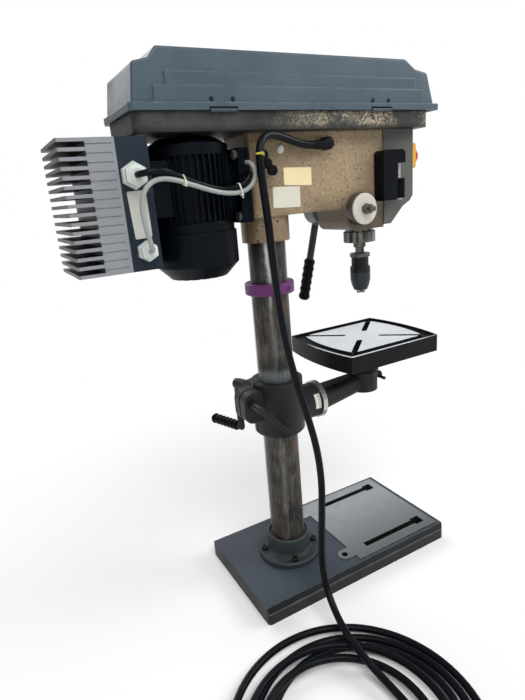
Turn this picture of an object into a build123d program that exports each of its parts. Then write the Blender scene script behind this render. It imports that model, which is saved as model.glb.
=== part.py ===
from build123d import *
import os
from math import acos, ceil, cos, degrees, floor, pi, radians, sin, tan

# Bench drill on a round column. Millimetres, origin on the column axis at the underside of the
# base, +Z up, front towards -Y, lid hinges and mains lead on the -X side, feed handles on the +X side.

# Clearances
FIT = 0.05  # radial running fit of a shaft in its bore
SEAT = 0.02  # radial gap of pieces that are pressed or clamped together
GAP = 0.3  # clearance between pieces that move past each other

# Base and column
REACH = 218.0  # column axis to spindle axis
BASE_W = 258.0
BASE_FRONT = 336.0
BASE_REAR = 129.0
BASE_CORNER = 8.0
BASE_H = 36.0
SKIRT_H = 22.0
LEDGE = 3.0
LEDGE_ANGLE = 12.0
BASE_WALL = 12.0
DECK_T = 14.0
RIB_T = 8.0
RIB_X = 60.0
PAD_RISE = 2.0
PAD_W = 232.0
PAD_FRONT = 326.0
PAD_REAR = 104.0
SLOT_X = 86.0
SLOT_W = 13.0
SLOT_REAR = 142.0
SLOT_FRONT = 306.0
SLOT_ENTRY = 23.0
BENCH_X = 86.0
BENCH_Y = 86.0
BENCH_HOLE_R = 6.5
BENCH_BOSS_R = 15.0
COLUMN_R = 35.0
COLUMN_WALL = 6.0
COLUMN_TOP = 820.0
FLANGE_R = 66.0
FLANGE_T = 12.0
COLLAR_R = 45.0
COLLAR_H = 52.0
FLANGE_BOLT_R = 55.0
FLANGE_BOLT_ANGLE = 72.0
FLANGE_BOLTS = 4
SCREW_R = 4.0
SCREW_HEAD_R = 6.5
SCREW_HEAD_H = 8.0
SCREW_GRIP = 20.0
RING_R = 46.5
RING_Z = 612.0
RING_H = 21.0

# Column rack, lifting gear and crank
RACK_AZ = 19.0  # direction of the rack round the column, from +X towards +Y
RACK_W = 14.0
RACK_BACK = 4.7
TONGUE_H = 4.0
MODULE = 2.0
GEAR_TEETH = 14
PRESSURE = radians(20.0)
ADDENDUM = 0.8
DEDENDUM = 1.25
BACKLASH = 0.3
LIFT_GEAR_W = 14.0
WORM_PITCH_R = 8.0
WORM_L = 22.0
WORM_TURNS = 2
WORM_ROOT = 2.4
WORM_TIP = 0.8
CRANK_Z = 406.0
CRANK_SHAFT_R = 8.0
CRANK_BOSS_R = 12.0
CRANK_BOSS_END = 110.0
CRANK_ARM = 102.0
CRANK_ARM_W = 15.0
CRANK_ARM_T = 8.0
CRANK_GRIP_L = 80.0
CRANK_GRIP_R = 11.5
GRIP_PIN_R = 4.0

# Table bracket, arm and table
SLEEVE_R = 51.0
BRACKET_TOP = 440.0
BRACKET_BOTTOM = 330.0
GEARBOX_R = 85.0
GEARBOX_W = 36.0
GEARBOX_LOW = 356.0
GEARBOX_HIGH = 426.0
GEARBOX_ROUND = 17.0
EAR_REACH = 86.0
EAR_T = 22.0
EAR_LOW = 368.0
EAR_HIGH = 430.0
EAR_ROUND = 18.0
SLIT_W = 4.0
CLAMP_Y = 70.0
CLAMP_Z = 408.0
CLAMP_R = 5.0
LEVER_X = 60.0
LEVER_L = 84.0
LEVER_DROP = 48.0  # degrees below the horizontal, pointing forward
TILT_Z = 371.0
TILT_BOSS_R = 36.0
TILT_FACE = 82.0
SPIGOT_R = 22.0
SPIGOT_L = 32.0
ARM_FLANGE_T = 14.0
SCALE_RING_R = 39.0
SCALE_RING_T = 10.0
ARM_H = 56.0
ARM_W = 46.0
HUB_R = 31.0
HUB_LOW = 362.0
HUB_HIGH = 405.0
STEM_R = 20.0
LOCK_R = 5.0
LOCK_BAR_R = 3.5
LOCK_BAR_L = 46.0
TABLE_Z = 483.0
TABLE_W = 212.0
TABLE_L = 224.0
TABLE_BULGE = 12.0
TABLE_H = 35.0
TABLE_PLATE_T = 15.0
TABLE_WALL = 8.0
TROUGH_EDGE = 3.0
TROUGH_W = 19.0
TROUGH_D = 5.0
TABLE_SLOT_W = 12.0
TABLE_SLOT_IN = 34.0
TABLE_SLOT_OUT = 126.0
TABLE_BOSS_R = 34.0

# Head, quill, spindle and chuck
HEAD_W = 96.0
HEAD_REAR = 47.0
HEAD_FRONT = 240.0
HEAD_BOTTOM = 752.0
HEAD_TOP = 888.0
HEAD_ROUND = 9.0
HEAD_CAVITY_WALL = 10.0
COLLAR_BOTTOM = 708.0
HEAD_COLLAR_R = 44.0
HOUSING_BOTTOM = 710.0
HOUSING_REAR = 152.0
NOSE_R = 40.0
QUILL_R = 27.5
QUILL_SHOWS = 28.0
QUILL_TOP = 840.0
QUILL_TRAVEL = 65.0
QUILL_BORE_R = 16.0
COLLAR_RING_R = 32.0
COLLAR_RING_H = 21.5
COLLAR_SLIT = 2.5
BEARING_R = 20.0
BEARING_H = 14.0
SPINDLE_R = 12.5
NOSE_L = 11.0
NECK_R = 9.0
SPLINE_R = 9.0
SPLINE_TIP_R = 11.0
SPLINE_W = 4.0
SPLINES = 6
SPINDLE_TOP = 962.0
CHUCK_DROP = 23.0
CHUCK_L = 83.0
CHUCK_FLANGE_R = 20.5
CHUCK_FLANGE_H = 7.0
CHUCK_BODY_R = 17.5
CHUCK_SLEEVE_R = 20.5
CHUCK_NECK_L = 27.0
JAWS_SHOW = 8.0
CHUCK_NOSE_R = 14.0
CHUCK_MOUTH_R = 11.2
CHUCK_CORE_R = 16.4
JAW_R = 4.0
JAW_L = 27.0
JAW_ANGLE = 10.0
JAW_TIP_OFFSET = 4.8
JAW_APEX = 1.0
GRIP_R = 3.0

# Feed shaft, handles and return spring
PINION_Z = 749.0
PINION_W = 14.0
FEED_SHAFT_R = 9.0
FEED_BOSS_R = 24.0
FEED_BOSS_END = 60.0
FEED_HUB_R = 29.0
FEED_HUB_END = 112.0
LEVER_CONE = 12.0
LEVER_TURN = 6.0  # visible lever, degrees from straight down towards the column
FEED_LEVERS = 3
FEED_LEVER_R = 7.5
FEED_LEVER_L = 124.0
FEED_GRIP_L = 92.0
FEED_GRIP_R = 12.5
CUP_R = 30.0
CUP_L = 17.0
CUP_WALL = 2.5
CAP_R = 28.5
CAP_T = 3.5
STUD_R = 5.0
STUD_L = 24.0
NUT_R = 8.5
NUT_T = 6.0
SPRING_TURNS = 5
SPRING_STRIP = 1.0
SPRING_PITCH = 2.6

# Front switch box, emergency stop and guard hinge
BOX_W = 100.0
BOX_FRONT = 315.0
BOX_WALL = 3.0
BOX_BOTTOM = 715.0
BOX_KNEE = 755.0
ESTOP_X = -27.0
ESTOP_Z = 839.0
ESTOP_BASE = 46.0
ESTOP_BASE_T = 8.0
ESTOP_R = 17.0
ESTOP_TRAVEL = 5.0
GUARD_Y = 244.0
GUARD_TOP = 850.0
GUARD_LOW = 760.0
GUARD_W = 54.0
GUARD_D = 26.0
GUARD_PIN_R = 4.0
GUARD_PIN_IN = 5.5
KNUCKLE_R = 11.5
KNUCKLE_TOP = 800.0

# Belt tray, lid and pulleys
TRAY_FRONT = 334.0
TRAY_REAR = 239.0
TRAY_W = 148.0
TRAY_CORNER = 16.0
TRAY_H = 28.5
TRAY_T = 2.5
LID_FRONT = 355.0
LID_REAR = 244.0
LID_OVERHANG = 5.0
LID_CORNER = 8.0
LIP_H = 10.5
LIP_STEP = 5.5
LIP_STEP_FRONT = 10.0
LID_WALL_H = 64.5
BROW_RISE = 5.5
CROWN_RISE = 21.0
SIDE_LEAN = 3.0
REAR_LEAN = 8.0
REAR_BROW = 25.0
REAR_RAMP = 12.5
FRONT_LEAN = 15.0
FRONT_BROW = 29.0
FRONT_RAMP = 24.0
LID_ROUND = 6.0
LID_WALL = 3.5
PANEL_LOW_H = 34.5
PANEL_LOW_IN = 38.0
PANEL_HIGH_H = 53.5
PANEL_HIGH_IN = 58.0
STEP_D = 1.8
HINGE_REAR_Y = 99.0
HINGE_FRONT_Y = -212.0
HINGE_L = 44.0
HINGE_PIN_R = 1.5
KNUCKLE_WALL = 1.5
LEAF_T = 1.5
LEAF_H = 18.0
HINGE_SCREW_SPACING = 36.0
HINGE_SCREW_R = 3.5
RIVET_R = 1.8
MOTOR_Y = 137.0
PULLEY_STEPS = 4
PULLEY_STEP_H = 19.0
PULLEY_LOW = 899.0
PULLEY_BIG_R = 56.0
PULLEY_DROP = 8.0
PULLEY_SLEEVE_R = 17.0
GROOVE_D = 8.0
GROOVE_TOP = 11.0
GROOVE_BOTTOM = 6.0
BELT_STEP = 1
BELT_H = 7.0
PULLEY_BEARING_R = 26.0
PULLEY_BEARING_H = 16.0

# Motor, its slide and the inverter
MOTOR_CORE_R = 60.0
FIN_R = 68.0
FINS = 40
FIN_T = 2.6
MOTOR_BODY_LOW = 756.0
MOTOR_BODY_HIGH = 857.0
MOTOR_TOP = 885.0
MOTOR_BORE_R = 50.0
COWL_R = 71.0
COWL_TOP = 738.0
COWL_LOW = 663.0
COWL_CHAMFER = 22.0
COWL_WALL = 2.5
SHAFT_R = 9.5
ROTOR_R = 44.0
FAN_R = 52.0
PLATE_FRONT = 56.0
PLATE_T = 12.0
PLATE_W = 132.0
PLATE_LOW = 748.0
PLATE_HIGH = 864.0
FOOT_T = 8.0
FOOT_W = 80.0
MOTOR_BOLT_X = 57.0
MOTOR_BOLT_EDGE = 10.0
ROD_R = 9.0
ROD_X = 26.0
ROD_Z = 839.0
ROD_END = -40.0
WING_Y = 22.0
WING_SCREW_R = 4.0
WING_L = 46.0
INV_FRONT = 222.0
INV_BACK = 270.0
INV_W = 142.0
INV_LOW = 694.0
INV_HIGH = 884.0
INV_ROUND = 4.0
SINK_BACK = 349.0
SINK_FINS = 16
SINK_FIN_T = 5.0
SINK_SLOT_D = 38.0
SINK_GROOVE_D = 1.2
SINK_GROOVE_W = 2.0
BIG_GLAND_Y = 250.0
BIG_GLAND_Z = 831.0
SMALL_GLAND_Y = 246.0
SMALL_GLAND_Z = 723.0
BIG_GLAND_R = 17.0
SMALL_GLAND_R = 13.5
GLAND_L = 22.0

# Leads
CONTROL_LEAD_R = 3.6
POWER_LEAD_R = 4.6
LEAD_R = 6.5
BOOT_Y = -104.0
BOOT_Z = 866.0
BOOT_R = 11.0
COIL_X = -385.0
COIL_Y = 120.0
COIL_TURNS = 3  # turns in each of the two layers
COIL_NEAR = 84.0  # reach of the upper turns towards the front, and how much each one grows
COIL_NEAR_GROWS = 28.0
COIL_FAR = 150.0
COIL_FAR_GROWS = 22.0
COIL_LOW_NEAR = 196.0  # the same for the turns on the floor, which shrink inwards
COIL_LOW_NEAR_SHRINKS = 16.0
COIL_LOW_FAR = 160.0
COIL_LOW_FAR_SHRINKS = 30.0
COIL_TAIL = 70.0
LAYER_STEP = 13.6
PLUG_L = 58.0
PLUG_W = 36.0
PLUG_T = 13.0

# Worked-out places
FLOOR_Z = 0.0
SPINDLE_Y = -REACH
FLANGE_TOP = BASE_H + FLANGE_T
COLLAR_TOP = BASE_H + COLLAR_H
PITCH_R = MODULE * GEAR_TEETH / 2
GEAR_TIP_R = PITCH_R + ADDENDUM * MODULE
RACK_PITCH = pi * MODULE
RACK_ROOT_R = COLUMN_R + GAP + RACK_BACK
RACK_TIP_R = RACK_ROOT_R + (ADDENDUM + DEDENDUM) * MODULE
TONGUE_ROOM_R = (RACK_ROOT_R**2 + RACK_W**2 / 4) ** 0.5 + GAP
LIFT_GEAR_R = RACK_ROOT_R + DEDENDUM * MODULE + PITCH_R
LIFT_GEAR_Z = CRANK_Z - WORM_PITCH_R - PITCH_R
QUILL_BOTTOM = HOUSING_BOTTOM - QUILL_SHOWS
CHUCK_TOP = QUILL_BOTTOM - CHUCK_DROP
CHUCK_TIP = CHUCK_TOP - CHUCK_L
CHUCK_SLEEVE_TOP = CHUCK_TOP - CHUCK_NECK_L
CHUCK_SLEEVE_BOTTOM = CHUCK_TIP + JAWS_SHOW
QUILL_PITCH = QUILL_R - ADDENDUM * MODULE
PINION_Y = SPINDLE_Y + QUILL_PITCH + PITCH_R
HEAD_X = HEAD_W / 2
PLATE_BACK = PLATE_FRONT + PLATE_T
CUP_END = -HEAD_X - CUP_L
CAP_END = CUP_END - CAP_T
HUB_MID = (FEED_BOSS_END + FEED_HUB_END) / 2
INV_X = INV_W / 2
COIL_LOW_Z = FLOOR_Z + LEAD_R + 0.2
COIL_HIGH_Z = COIL_LOW_Z + LAYER_STEP
OVER_COIL_Z = COIL_HIGH_Z + LAYER_STEP + 4
TRAY_TOP = HEAD_TOP + TRAY_H
LID_LOW = TRAY_TOP + GAP
LIP_TOP = LID_LOW + LIP_H
LID_SHOULDER = TRAY_TOP + LID_WALL_H
LID_TOP = LID_SHOULDER + CROWN_RISE
LID_W = TRAY_W + 2 * LID_OVERHANG
LID_FLANK = LID_W / 2 - LIP_STEP
PANEL_FACE = LID_FLANK - SIDE_LEAN / 3 + 2 * STEP_D
LEAF_TOP = LIP_TOP + 3 * HINGE_SCREW_R
LEAF_X = SIDE_LEAN * (LEAF_TOP - LIP_TOP) / (LID_TOP - LIP_TOP) + LID_WALL + FIT - LID_FLANK
HINGE_R = HINGE_PIN_R + KNUCKLE_WALL
HINGE_X = -TRAY_W / 2 - HINGE_R - GAP
STANDING = (Align.CENTER, Align.CENTER, Align.MIN)

parts = {}


def cyl(radius, low, high, x=0.0, y=0.0):
    """Upright cylinder between two heights."""
    return Pos(x, y, low) * Cylinder(radius, high - low, align=STANDING)


def rod(start, end, radius, end_radius=None):
    """Cylinder, or cone, between two points."""
    run = Vector(*end) - Vector(*start)
    if end_radius is None:
        shape = Cylinder(radius, run.length, align=STANDING)
    else:
        shape = Cone(radius, end_radius, run.length, align=STANDING)
    return Plane(origin=start, z_dir=run.normalized()) * shape


def slab(x, y, z):
    """Box from its three (low, high) pairs."""
    size = [high - low for low, high in (x, y, z)]
    middle = [(low + high) / 2 for low, high in (x, y, z)]
    return Pos(*middle) * Box(*size)


def outline(points):
    return make_face(Polyline(*points, close=True))


def prism_x(points, low, high):
    """Outline of (y, z) points, extruded along X."""
    return Pos(low, 0, 0) * extrude(Plane.YZ * outline(points), high - low)


def turned(points, x=0.0, y=0.0):
    """Outline of (radius, z) points, turned about an upright axis."""
    return Pos(x, y, 0) * revolve(Plane.XZ * outline(points), Axis.Z)


def turned_x(points, y, z):
    """Outline of (x, radius) points, turned about an axis along X."""
    return Pos(0, y, z) * revolve(outline(points), Axis.X)


def hexagon(across, low, high, bore=0.0):
    """Upright hexagonal nut or head with an optional hole."""
    nut = Pos(0, 0, low) * extrude(RegularPolygon(across / 2, 6, major_radius=False), high - low)
    if bore:
        nut -= cyl(bore, low - 1, high + 1)
    return nut


def around(angle):
    """Turn about the column axis."""
    return Rot(0, 0, angle)


def scalloped_grip(length, radius, bore, waves):
    """Handle grip with finger scallops, turned about Z from z = 0 up."""
    neck = radius * 0.78
    dip = radius * 0.14
    pitch = length * 0.84 / waves
    first = length * 0.06
    edges = [Line((bore, 0), (neck, 0)), Line((neck, 0), (radius, first))]
    for k in range(waves):
        low = first + k * pitch
        edges.append(ThreePointArc((radius, low), (radius - dip, low + pitch / 2), (radius, low + pitch)))
    top = first + waves * pitch
    edges.append(ThreePointArc((radius, top), (radius * 0.86, length - first * 0.4), (bore + 1, length)))
    edges.append(Line((bore + 1, length), (bore, length)))
    edges.append(Line((bore, length), (bore, 0)))
    return revolve(Plane.XZ * make_face(edges), Axis.Z)


def involute(angle):
    return tan(angle) - angle


def spur_gear(width):
    """Spur gear with involute teeth, tooth along +X, axis Z, centred on z = 0."""
    base_r = PITCH_R * cos(PRESSURE)
    root_r = PITCH_R - DEDENDUM * MODULE
    half = (pi * MODULE / 2 - BACKLASH) / (2 * PITCH_R) + involute(PRESSURE)
    flank = [(root_r, half)]
    for k in range(5):
        r = base_r + (GEAR_TIP_R - base_r) * k / 4
        flank.append((r, half - involute(acos(base_r / r))))
    points = []
    for k in range(GEAR_TEETH):
        middle = 2 * pi * k / GEAR_TEETH
        side = [(r, middle - a) for r, a in flank] + [(r, middle + a) for r, a in reversed(flank)]
        points += [(r * cos(a), r * sin(a)) for r, a in side]
    return extrude(outline(points), width / 2, both=True)


def tooth_widths():
    """Width of a rack tooth at its root and at its tip."""
    middle = RACK_PITCH / 2 - BACKLASH
    return middle + 2 * DEDENDUM * MODULE * tan(PRESSURE), middle - 2 * ADDENDUM * MODULE * tan(PRESSURE)


def hexagon_socket_screw(length):
    """Cap screw standing on z = 0, head up."""
    head = cyl(SCREW_HEAD_R, 0, SCREW_HEAD_H)
    head = chamfer(head.edges().group_by(Axis.Z)[-1], SCREW_HEAD_R / 8)
    socket = Pos(0, 0, SCREW_HEAD_H / 2) * extrude(RegularPolygon(SCREW_HEAD_R / 2, 6), SCREW_HEAD_H)
    return head - socket + cyl(SCREW_R, -length, 0)


def flange_bolt_places():
    return PolarLocations(FLANGE_BOLT_R, FLANGE_BOLTS, start_angle=FLANGE_BOLT_ANGLE)


def base_plate():
    side = BASE_W / 2
    brow = side - LEDGE - (BASE_H - SKIRT_H) * tan(radians(LEDGE_ANGLE))
    flank = [(side, SKIRT_H), (side - LEDGE, SKIRT_H + LEDGE / 3), (brow, BASE_H)]
    section = [(-side, 0), (side, 0)] + flank + [(-x, z) for x, z in reversed(flank)]
    body = Pos(0, BASE_REAR, 0) * extrude(Plane.XZ * outline(section), BASE_FRONT + BASE_REAR)
    middle_y = (BASE_REAR - BASE_FRONT) / 2
    plan = Pos(0, middle_y) * RectangleRounded(BASE_W, BASE_FRONT + BASE_REAR, BASE_CORNER)
    body = body & extrude(plan, BASE_H)
    pad_z = (BASE_H - PAD_RISE, BASE_H + PAD_RISE)
    body += slab((-PAD_W / 2, PAD_W / 2), (-PAD_FRONT, -PAD_REAR), pad_z)
    body -= base_hollow()

    top = BASE_H + PAD_RISE + 1
    slot_z = (BASE_H - DECK_T - 1, top)
    for side in (-1, 1):
        x = side * BENCH_X
        body += slab((x - BENCH_BOSS_R, x + BENCH_BOSS_R), (-PAD_REAR - 1, -BENCH_Y), pad_z)
        body += cyl(BENCH_BOSS_R, pad_z[0], pad_z[1], x, -BENCH_Y)
        body -= cyl(BENCH_HOLE_R, -1, top, x, -BENCH_Y)
        x = side * SLOT_X
        body -= slab((x - SLOT_W / 2, x + SLOT_W / 2), (-SLOT_FRONT, -SLOT_REAR), slot_z)
        entry = (-SLOT_FRONT, SLOT_ENTRY - SLOT_FRONT)
        body -= slab((x - SLOT_ENTRY / 2, x + SLOT_ENTRY / 2), entry, slot_z)
    for place in flange_bolt_places():
        body -= place * cyl(SCREW_R + SEAT, FLANGE_TOP - SCREW_GRIP - 1, top)
    parts["base_plate"] = body


def base_hollow():
    """Pockets under the deck between the ribs, the column pad and the bench bosses."""
    inner_x = BASE_W / 2 - BASE_WALL
    inner_y = (BASE_WALL - BASE_FRONT, BASE_REAR - BASE_WALL)
    hollow_z = (-1.0, BASE_H - DECK_T)
    hollow = slab((-inner_x, inner_x), inner_y, hollow_z)
    for x in (-RIB_X, 0.0, RIB_X):
        hollow -= slab((x - RIB_T / 2, x + RIB_T / 2), inner_y, hollow_z)
    cross_ribs = 5
    for k in range(1, cross_ribs):
        y = inner_y[0] + (inner_y[1] - inner_y[0]) * k / cross_ribs
        hollow -= slab((-RIB_X, RIB_X), (y - RIB_T / 2, y + RIB_T / 2), hollow_z)
    hollow -= cyl(FLANGE_R, -2, BASE_H)
    for side in (-1, 1):
        hollow -= cyl(BENCH_BOSS_R, -2, BASE_H, side * BENCH_X, -BENCH_Y)
    return hollow


def column_flange():
    tongue_r = TONGUE_ROOM_R
    bore = COLUMN_R + SEAT
    blend = (FLANGE_R - COLLAR_R) / 3
    flange = turned(
        [
            (bore, BASE_H),
            (FLANGE_R, BASE_H),
            (FLANGE_R, FLANGE_TOP - 2),
            (FLANGE_R - 2, FLANGE_TOP),
            (COLLAR_R + blend / 2, FLANGE_TOP),
            (COLLAR_R, FLANGE_TOP + blend),
            (COLLAR_R, COLLAR_TOP - 2),
            (COLLAR_R - 2, COLLAR_TOP),
            (tongue_r, COLLAR_TOP),
            (tongue_r, COLLAR_TOP - TONGUE_H),
            (bore, COLLAR_TOP - TONGUE_H),
        ]
    )
    for place in flange_bolt_places():
        flange -= place * cyl(SCREW_R + SEAT, BASE_H - 1, FLANGE_TOP + 1)
    parts["column_flange"] = flange
    screw = hexagon_socket_screw(SCREW_GRIP)
    seat = Pos(0, 0, FLANGE_TOP)
    parts["flange_screws"] = Compound(children=[seat * place * screw for place in flange_bolt_places()])


def column():
    bore_r = COLUMN_R - COLUMN_WALL
    parts["column"] = cyl(COLUMN_R, BASE_H, COLUMN_TOP) - cyl(bore_r, BASE_H - 1, COLUMN_TOP + 1)
    tongue_r = TONGUE_ROOM_R
    bore = COLUMN_R + SEAT
    ring_top = RING_Z + RING_H
    parts["stop_ring"] = turned(
        [
            (tongue_r, RING_Z),
            (RING_R - 1.5, RING_Z),
            (RING_R, RING_Z + 1.5),
            (RING_R, ring_top - 1.5),
            (RING_R - 1.5, ring_top),
            (bore, ring_top),
            (bore, RING_Z + TONGUE_H),
            (tongue_r, RING_Z + TONGUE_H),
        ]
    )


def column_rack():
    """Rack that hangs loose round the column between the flange and the stop ring."""
    low = COLLAR_TOP - TONGUE_H + GAP
    high = RING_Z + TONGUE_H - GAP
    root, tip = tooth_widths()
    first = ceil((COLLAR_TOP + root - LIFT_GEAR_Z) / RACK_PITCH)
    last = floor((RING_Z - root - LIFT_GEAR_Z) / RACK_PITCH)
    points = [(COLUMN_R - 2, low), (RACK_ROOT_R, low)]
    for k in range(first, last):
        z = LIFT_GEAR_Z + (k + 0.5) * RACK_PITCH
        points += [(RACK_ROOT_R, z - root / 2), (RACK_TIP_R, z - tip / 2)]
        points += [(RACK_TIP_R, z + tip / 2), (RACK_ROOT_R, z + root / 2)]
    points += [(RACK_ROOT_R, high), (COLUMN_R - 2, high)]
    bar = extrude(Plane.XZ * outline(points), RACK_W / 2, both=True)
    bar -= cyl(COLUMN_R + GAP, low - 1, high + 1)
    parts["column_rack"] = around(RACK_AZ) * bar


def lifting_gear():
    """Gear between the crank's worm and the rack, on its own stub axles."""
    stub = LIFT_GEAR_W / 2 + 6
    gear = spur_gear(LIFT_GEAR_W) + cyl(CLAMP_R, -stub, stub)
    place = Plane(origin=(LIFT_GEAR_R, 0, LIFT_GEAR_Z), x_dir=(-1, 0, 0), z_dir=(0, 1, 0))
    parts["lift_gear"] = around(RACK_AZ) * (place * gear)


def crank():
    """Worm, shaft and cranked arm in one forging, and the turning grip on its pin."""
    worm_r = WORM_PITCH_R - DEDENDUM * MODULE
    worm_in = LIFT_GEAR_R - WORM_L / 2
    worm_out = LIFT_GEAR_R + WORM_L / 2
    arm_in = CRANK_BOSS_END + GAP
    arm_out = arm_in + CRANK_ARM_T
    grip_z = CRANK_Z - CRANK_ARM
    shaft = rod((worm_in, 0, CRANK_Z), (worm_out, 0, CRANK_Z), worm_r)
    shaft += rod((worm_out, 0, CRANK_Z), (arm_out + 2, 0, CRANK_Z), CRANK_SHAFT_R)
    helix = Helix(pitch=RACK_PITCH, height=WORM_TURNS * RACK_PITCH, radius=worm_r)
    tall = (ADDENDUM + DEDENDUM) * MODULE
    root, tip = WORM_ROOT / 2, WORM_TIP / 2
    thread = outline([(-0.4, -root), (tall, -tip), (tall, tip), (-0.4, root)])
    section = Plane(origin=helix @ 0, x_dir=(1, 0, 0), z_dir=helix % 0) * thread
    worm = Pos(0, 0, -WORM_TURNS * RACK_PITCH / 2) * sweep(section, path=helix, is_frenet=True)
    shaft += Plane(origin=(LIFT_GEAR_R, 0, CRANK_Z), x_dir=(0, 0, -1), z_dir=(1, 0, 0)) * worm
    shaft_arm = rod((arm_in, 0, CRANK_Z), (arm_out, 0, CRANK_Z), CRANK_ARM_W * 0.72)
    shaft_arm += rod((arm_in, 0, grip_z), (arm_out, 0, grip_z), CRANK_ARM_W / 2)
    shaft_arm += slab((arm_in, arm_out), (-CRANK_ARM_W / 2.3, CRANK_ARM_W / 2.3), (grip_z, CRANK_Z))
    pin_end = arm_out + CRANK_GRIP_L + 5
    shaft_arm += rod((arm_out, 0, grip_z), (arm_out + 4, 0, grip_z), CRANK_GRIP_R * 0.7)
    shaft_arm += rod((arm_out, 0, grip_z), (pin_end, 0, grip_z), GRIP_PIN_R)
    shaft_arm += rod((pin_end, 0, grip_z), (pin_end + 2, 0, grip_z), GRIP_PIN_R + 2)
    parts["crank"] = around(RACK_AZ) * (shaft + shaft_arm)
    grip = scalloped_grip(CRANK_GRIP_L, CRANK_GRIP_R, GRIP_PIN_R + FIT, 6)
    seat = Plane(origin=(arm_out + 4 + GAP, 0, grip_z), z_dir=(1, 0, 0))
    parts["crank_grip"] = around(RACK_AZ) * (seat * grip)


def table_bracket():
    """Split sleeve that slides on the column, with the gear housing, clamp ears and tilting boss."""
    body = cyl(SLEEVE_R, BRACKET_BOTTOM, BRACKET_TOP)
    body = chamfer(body.edges().group_by(Axis.Z)[0], 4.0)
    body += rod((0, -COLUMN_R, TILT_Z), (0, -TILT_FACE, TILT_Z), TILT_BOSS_R)
    box_mid = (COLUMN_R + GEARBOX_R) / 2
    box_height = GEARBOX_HIGH - GEARBOX_LOW
    side = RectangleRounded(GEARBOX_R - COLUMN_R, box_height, GEARBOX_ROUND)
    side = Plane.XZ * (Pos(box_mid, (GEARBOX_LOW + GEARBOX_HIGH) / 2) * side)
    gearbox = extrude(side, GEARBOX_W / 2, both=True)
    gearbox += rod((COLUMN_R, 0, CRANK_Z), (CRANK_BOSS_END, 0, CRANK_Z), CRANK_BOSS_R)
    body += around(RACK_AZ) * gearbox
    ear_mid = (COLUMN_R + EAR_REACH) / 2
    ear = RectangleRounded(EAR_REACH - COLUMN_R, EAR_HIGH - EAR_LOW, EAR_ROUND)
    ear = Plane.YZ * (Pos(ear_mid, (EAR_LOW + EAR_HIGH) / 2) * ear)
    body += extrude(ear, EAR_T, both=True)

    body -= cyl(COLUMN_R + FIT, BRACKET_BOTTOM - 1, BRACKET_TOP + 1)
    slit = (COLUMN_R - 2, EAR_REACH + 1)
    body -= slab((-SLIT_W / 2, SLIT_W / 2), slit, (BRACKET_BOTTOM - 1, BRACKET_TOP + 1))
    body -= rod((-EAR_T - 1, CLAMP_Y, CLAMP_Z), (EAR_T + 40, CLAMP_Y, CLAMP_Z), CLAMP_R + FIT)
    body -= rod((0, -TILT_FACE - 1, TILT_Z), (0, SPIGOT_L - TILT_FACE, TILT_Z), SPIGOT_R + FIT)

    half = RACK_W / 2 + 2 * GAP
    inside = slab((COLUMN_R - 2, RACK_TIP_R + 2 * GAP), (-half, half), (BRACKET_BOTTOM - 1, BRACKET_TOP + 1))
    gear_half = LIFT_GEAR_W / 2 + GAP
    gear_ends = [(LIFT_GEAR_R, side * gear_half, LIFT_GEAR_Z) for side in (-1, 1)]
    inside += rod(*gear_ends, GEAR_TIP_R + 2 * GAP)
    stub = LIFT_GEAR_W / 2 + 6 + GAP
    inside += rod((LIFT_GEAR_R, -stub, LIFT_GEAR_Z), (LIFT_GEAR_R, stub, LIFT_GEAR_Z), CLAMP_R + FIT)
    worm_bore = WORM_PITCH_R + ADDENDUM * MODULE + 2 * GAP
    worm_ends = (LIFT_GEAR_R - WORM_L / 2 - GAP, LIFT_GEAR_R + WORM_L / 2 + GAP)
    inside += rod((worm_ends[0], 0, CRANK_Z), (worm_ends[1], 0, CRANK_Z), worm_bore)
    inside += rod((worm_ends[0], 0, CRANK_Z), (CRANK_BOSS_END + 1, 0, CRANK_Z), CRANK_SHAFT_R + FIT)
    body -= around(RACK_AZ) * inside
    parts["table_bracket"] = body


def clamp_lever():
    """Clamp screw across the bracket's ears with its long tapered handle."""
    drop = radians(LEVER_DROP)
    hub_in = -EAR_T - GAP
    screw = rod((EAR_T - 2, CLAMP_Y, CLAMP_Z), (hub_in, CLAMP_Y, CLAMP_Z), CLAMP_R)
    screw += rod((hub_in, CLAMP_Y, CLAMP_Z), (-LEVER_X, CLAMP_Y, CLAMP_Z), CLAMP_R * 1.7, CLAMP_R * 1.4)
    root = (-LEVER_X + CLAMP_R, CLAMP_Y, CLAMP_Z)
    tip = (-LEVER_X - 4, CLAMP_Y - LEVER_L * cos(drop), CLAMP_Z - LEVER_L * sin(drop))
    screw += rod(root, tip, CLAMP_R * 0.8, CLAMP_R)
    screw += Pos(*tip) * Sphere(CLAMP_R)
    parts["bracket_clamp_lever"] = screw


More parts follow.
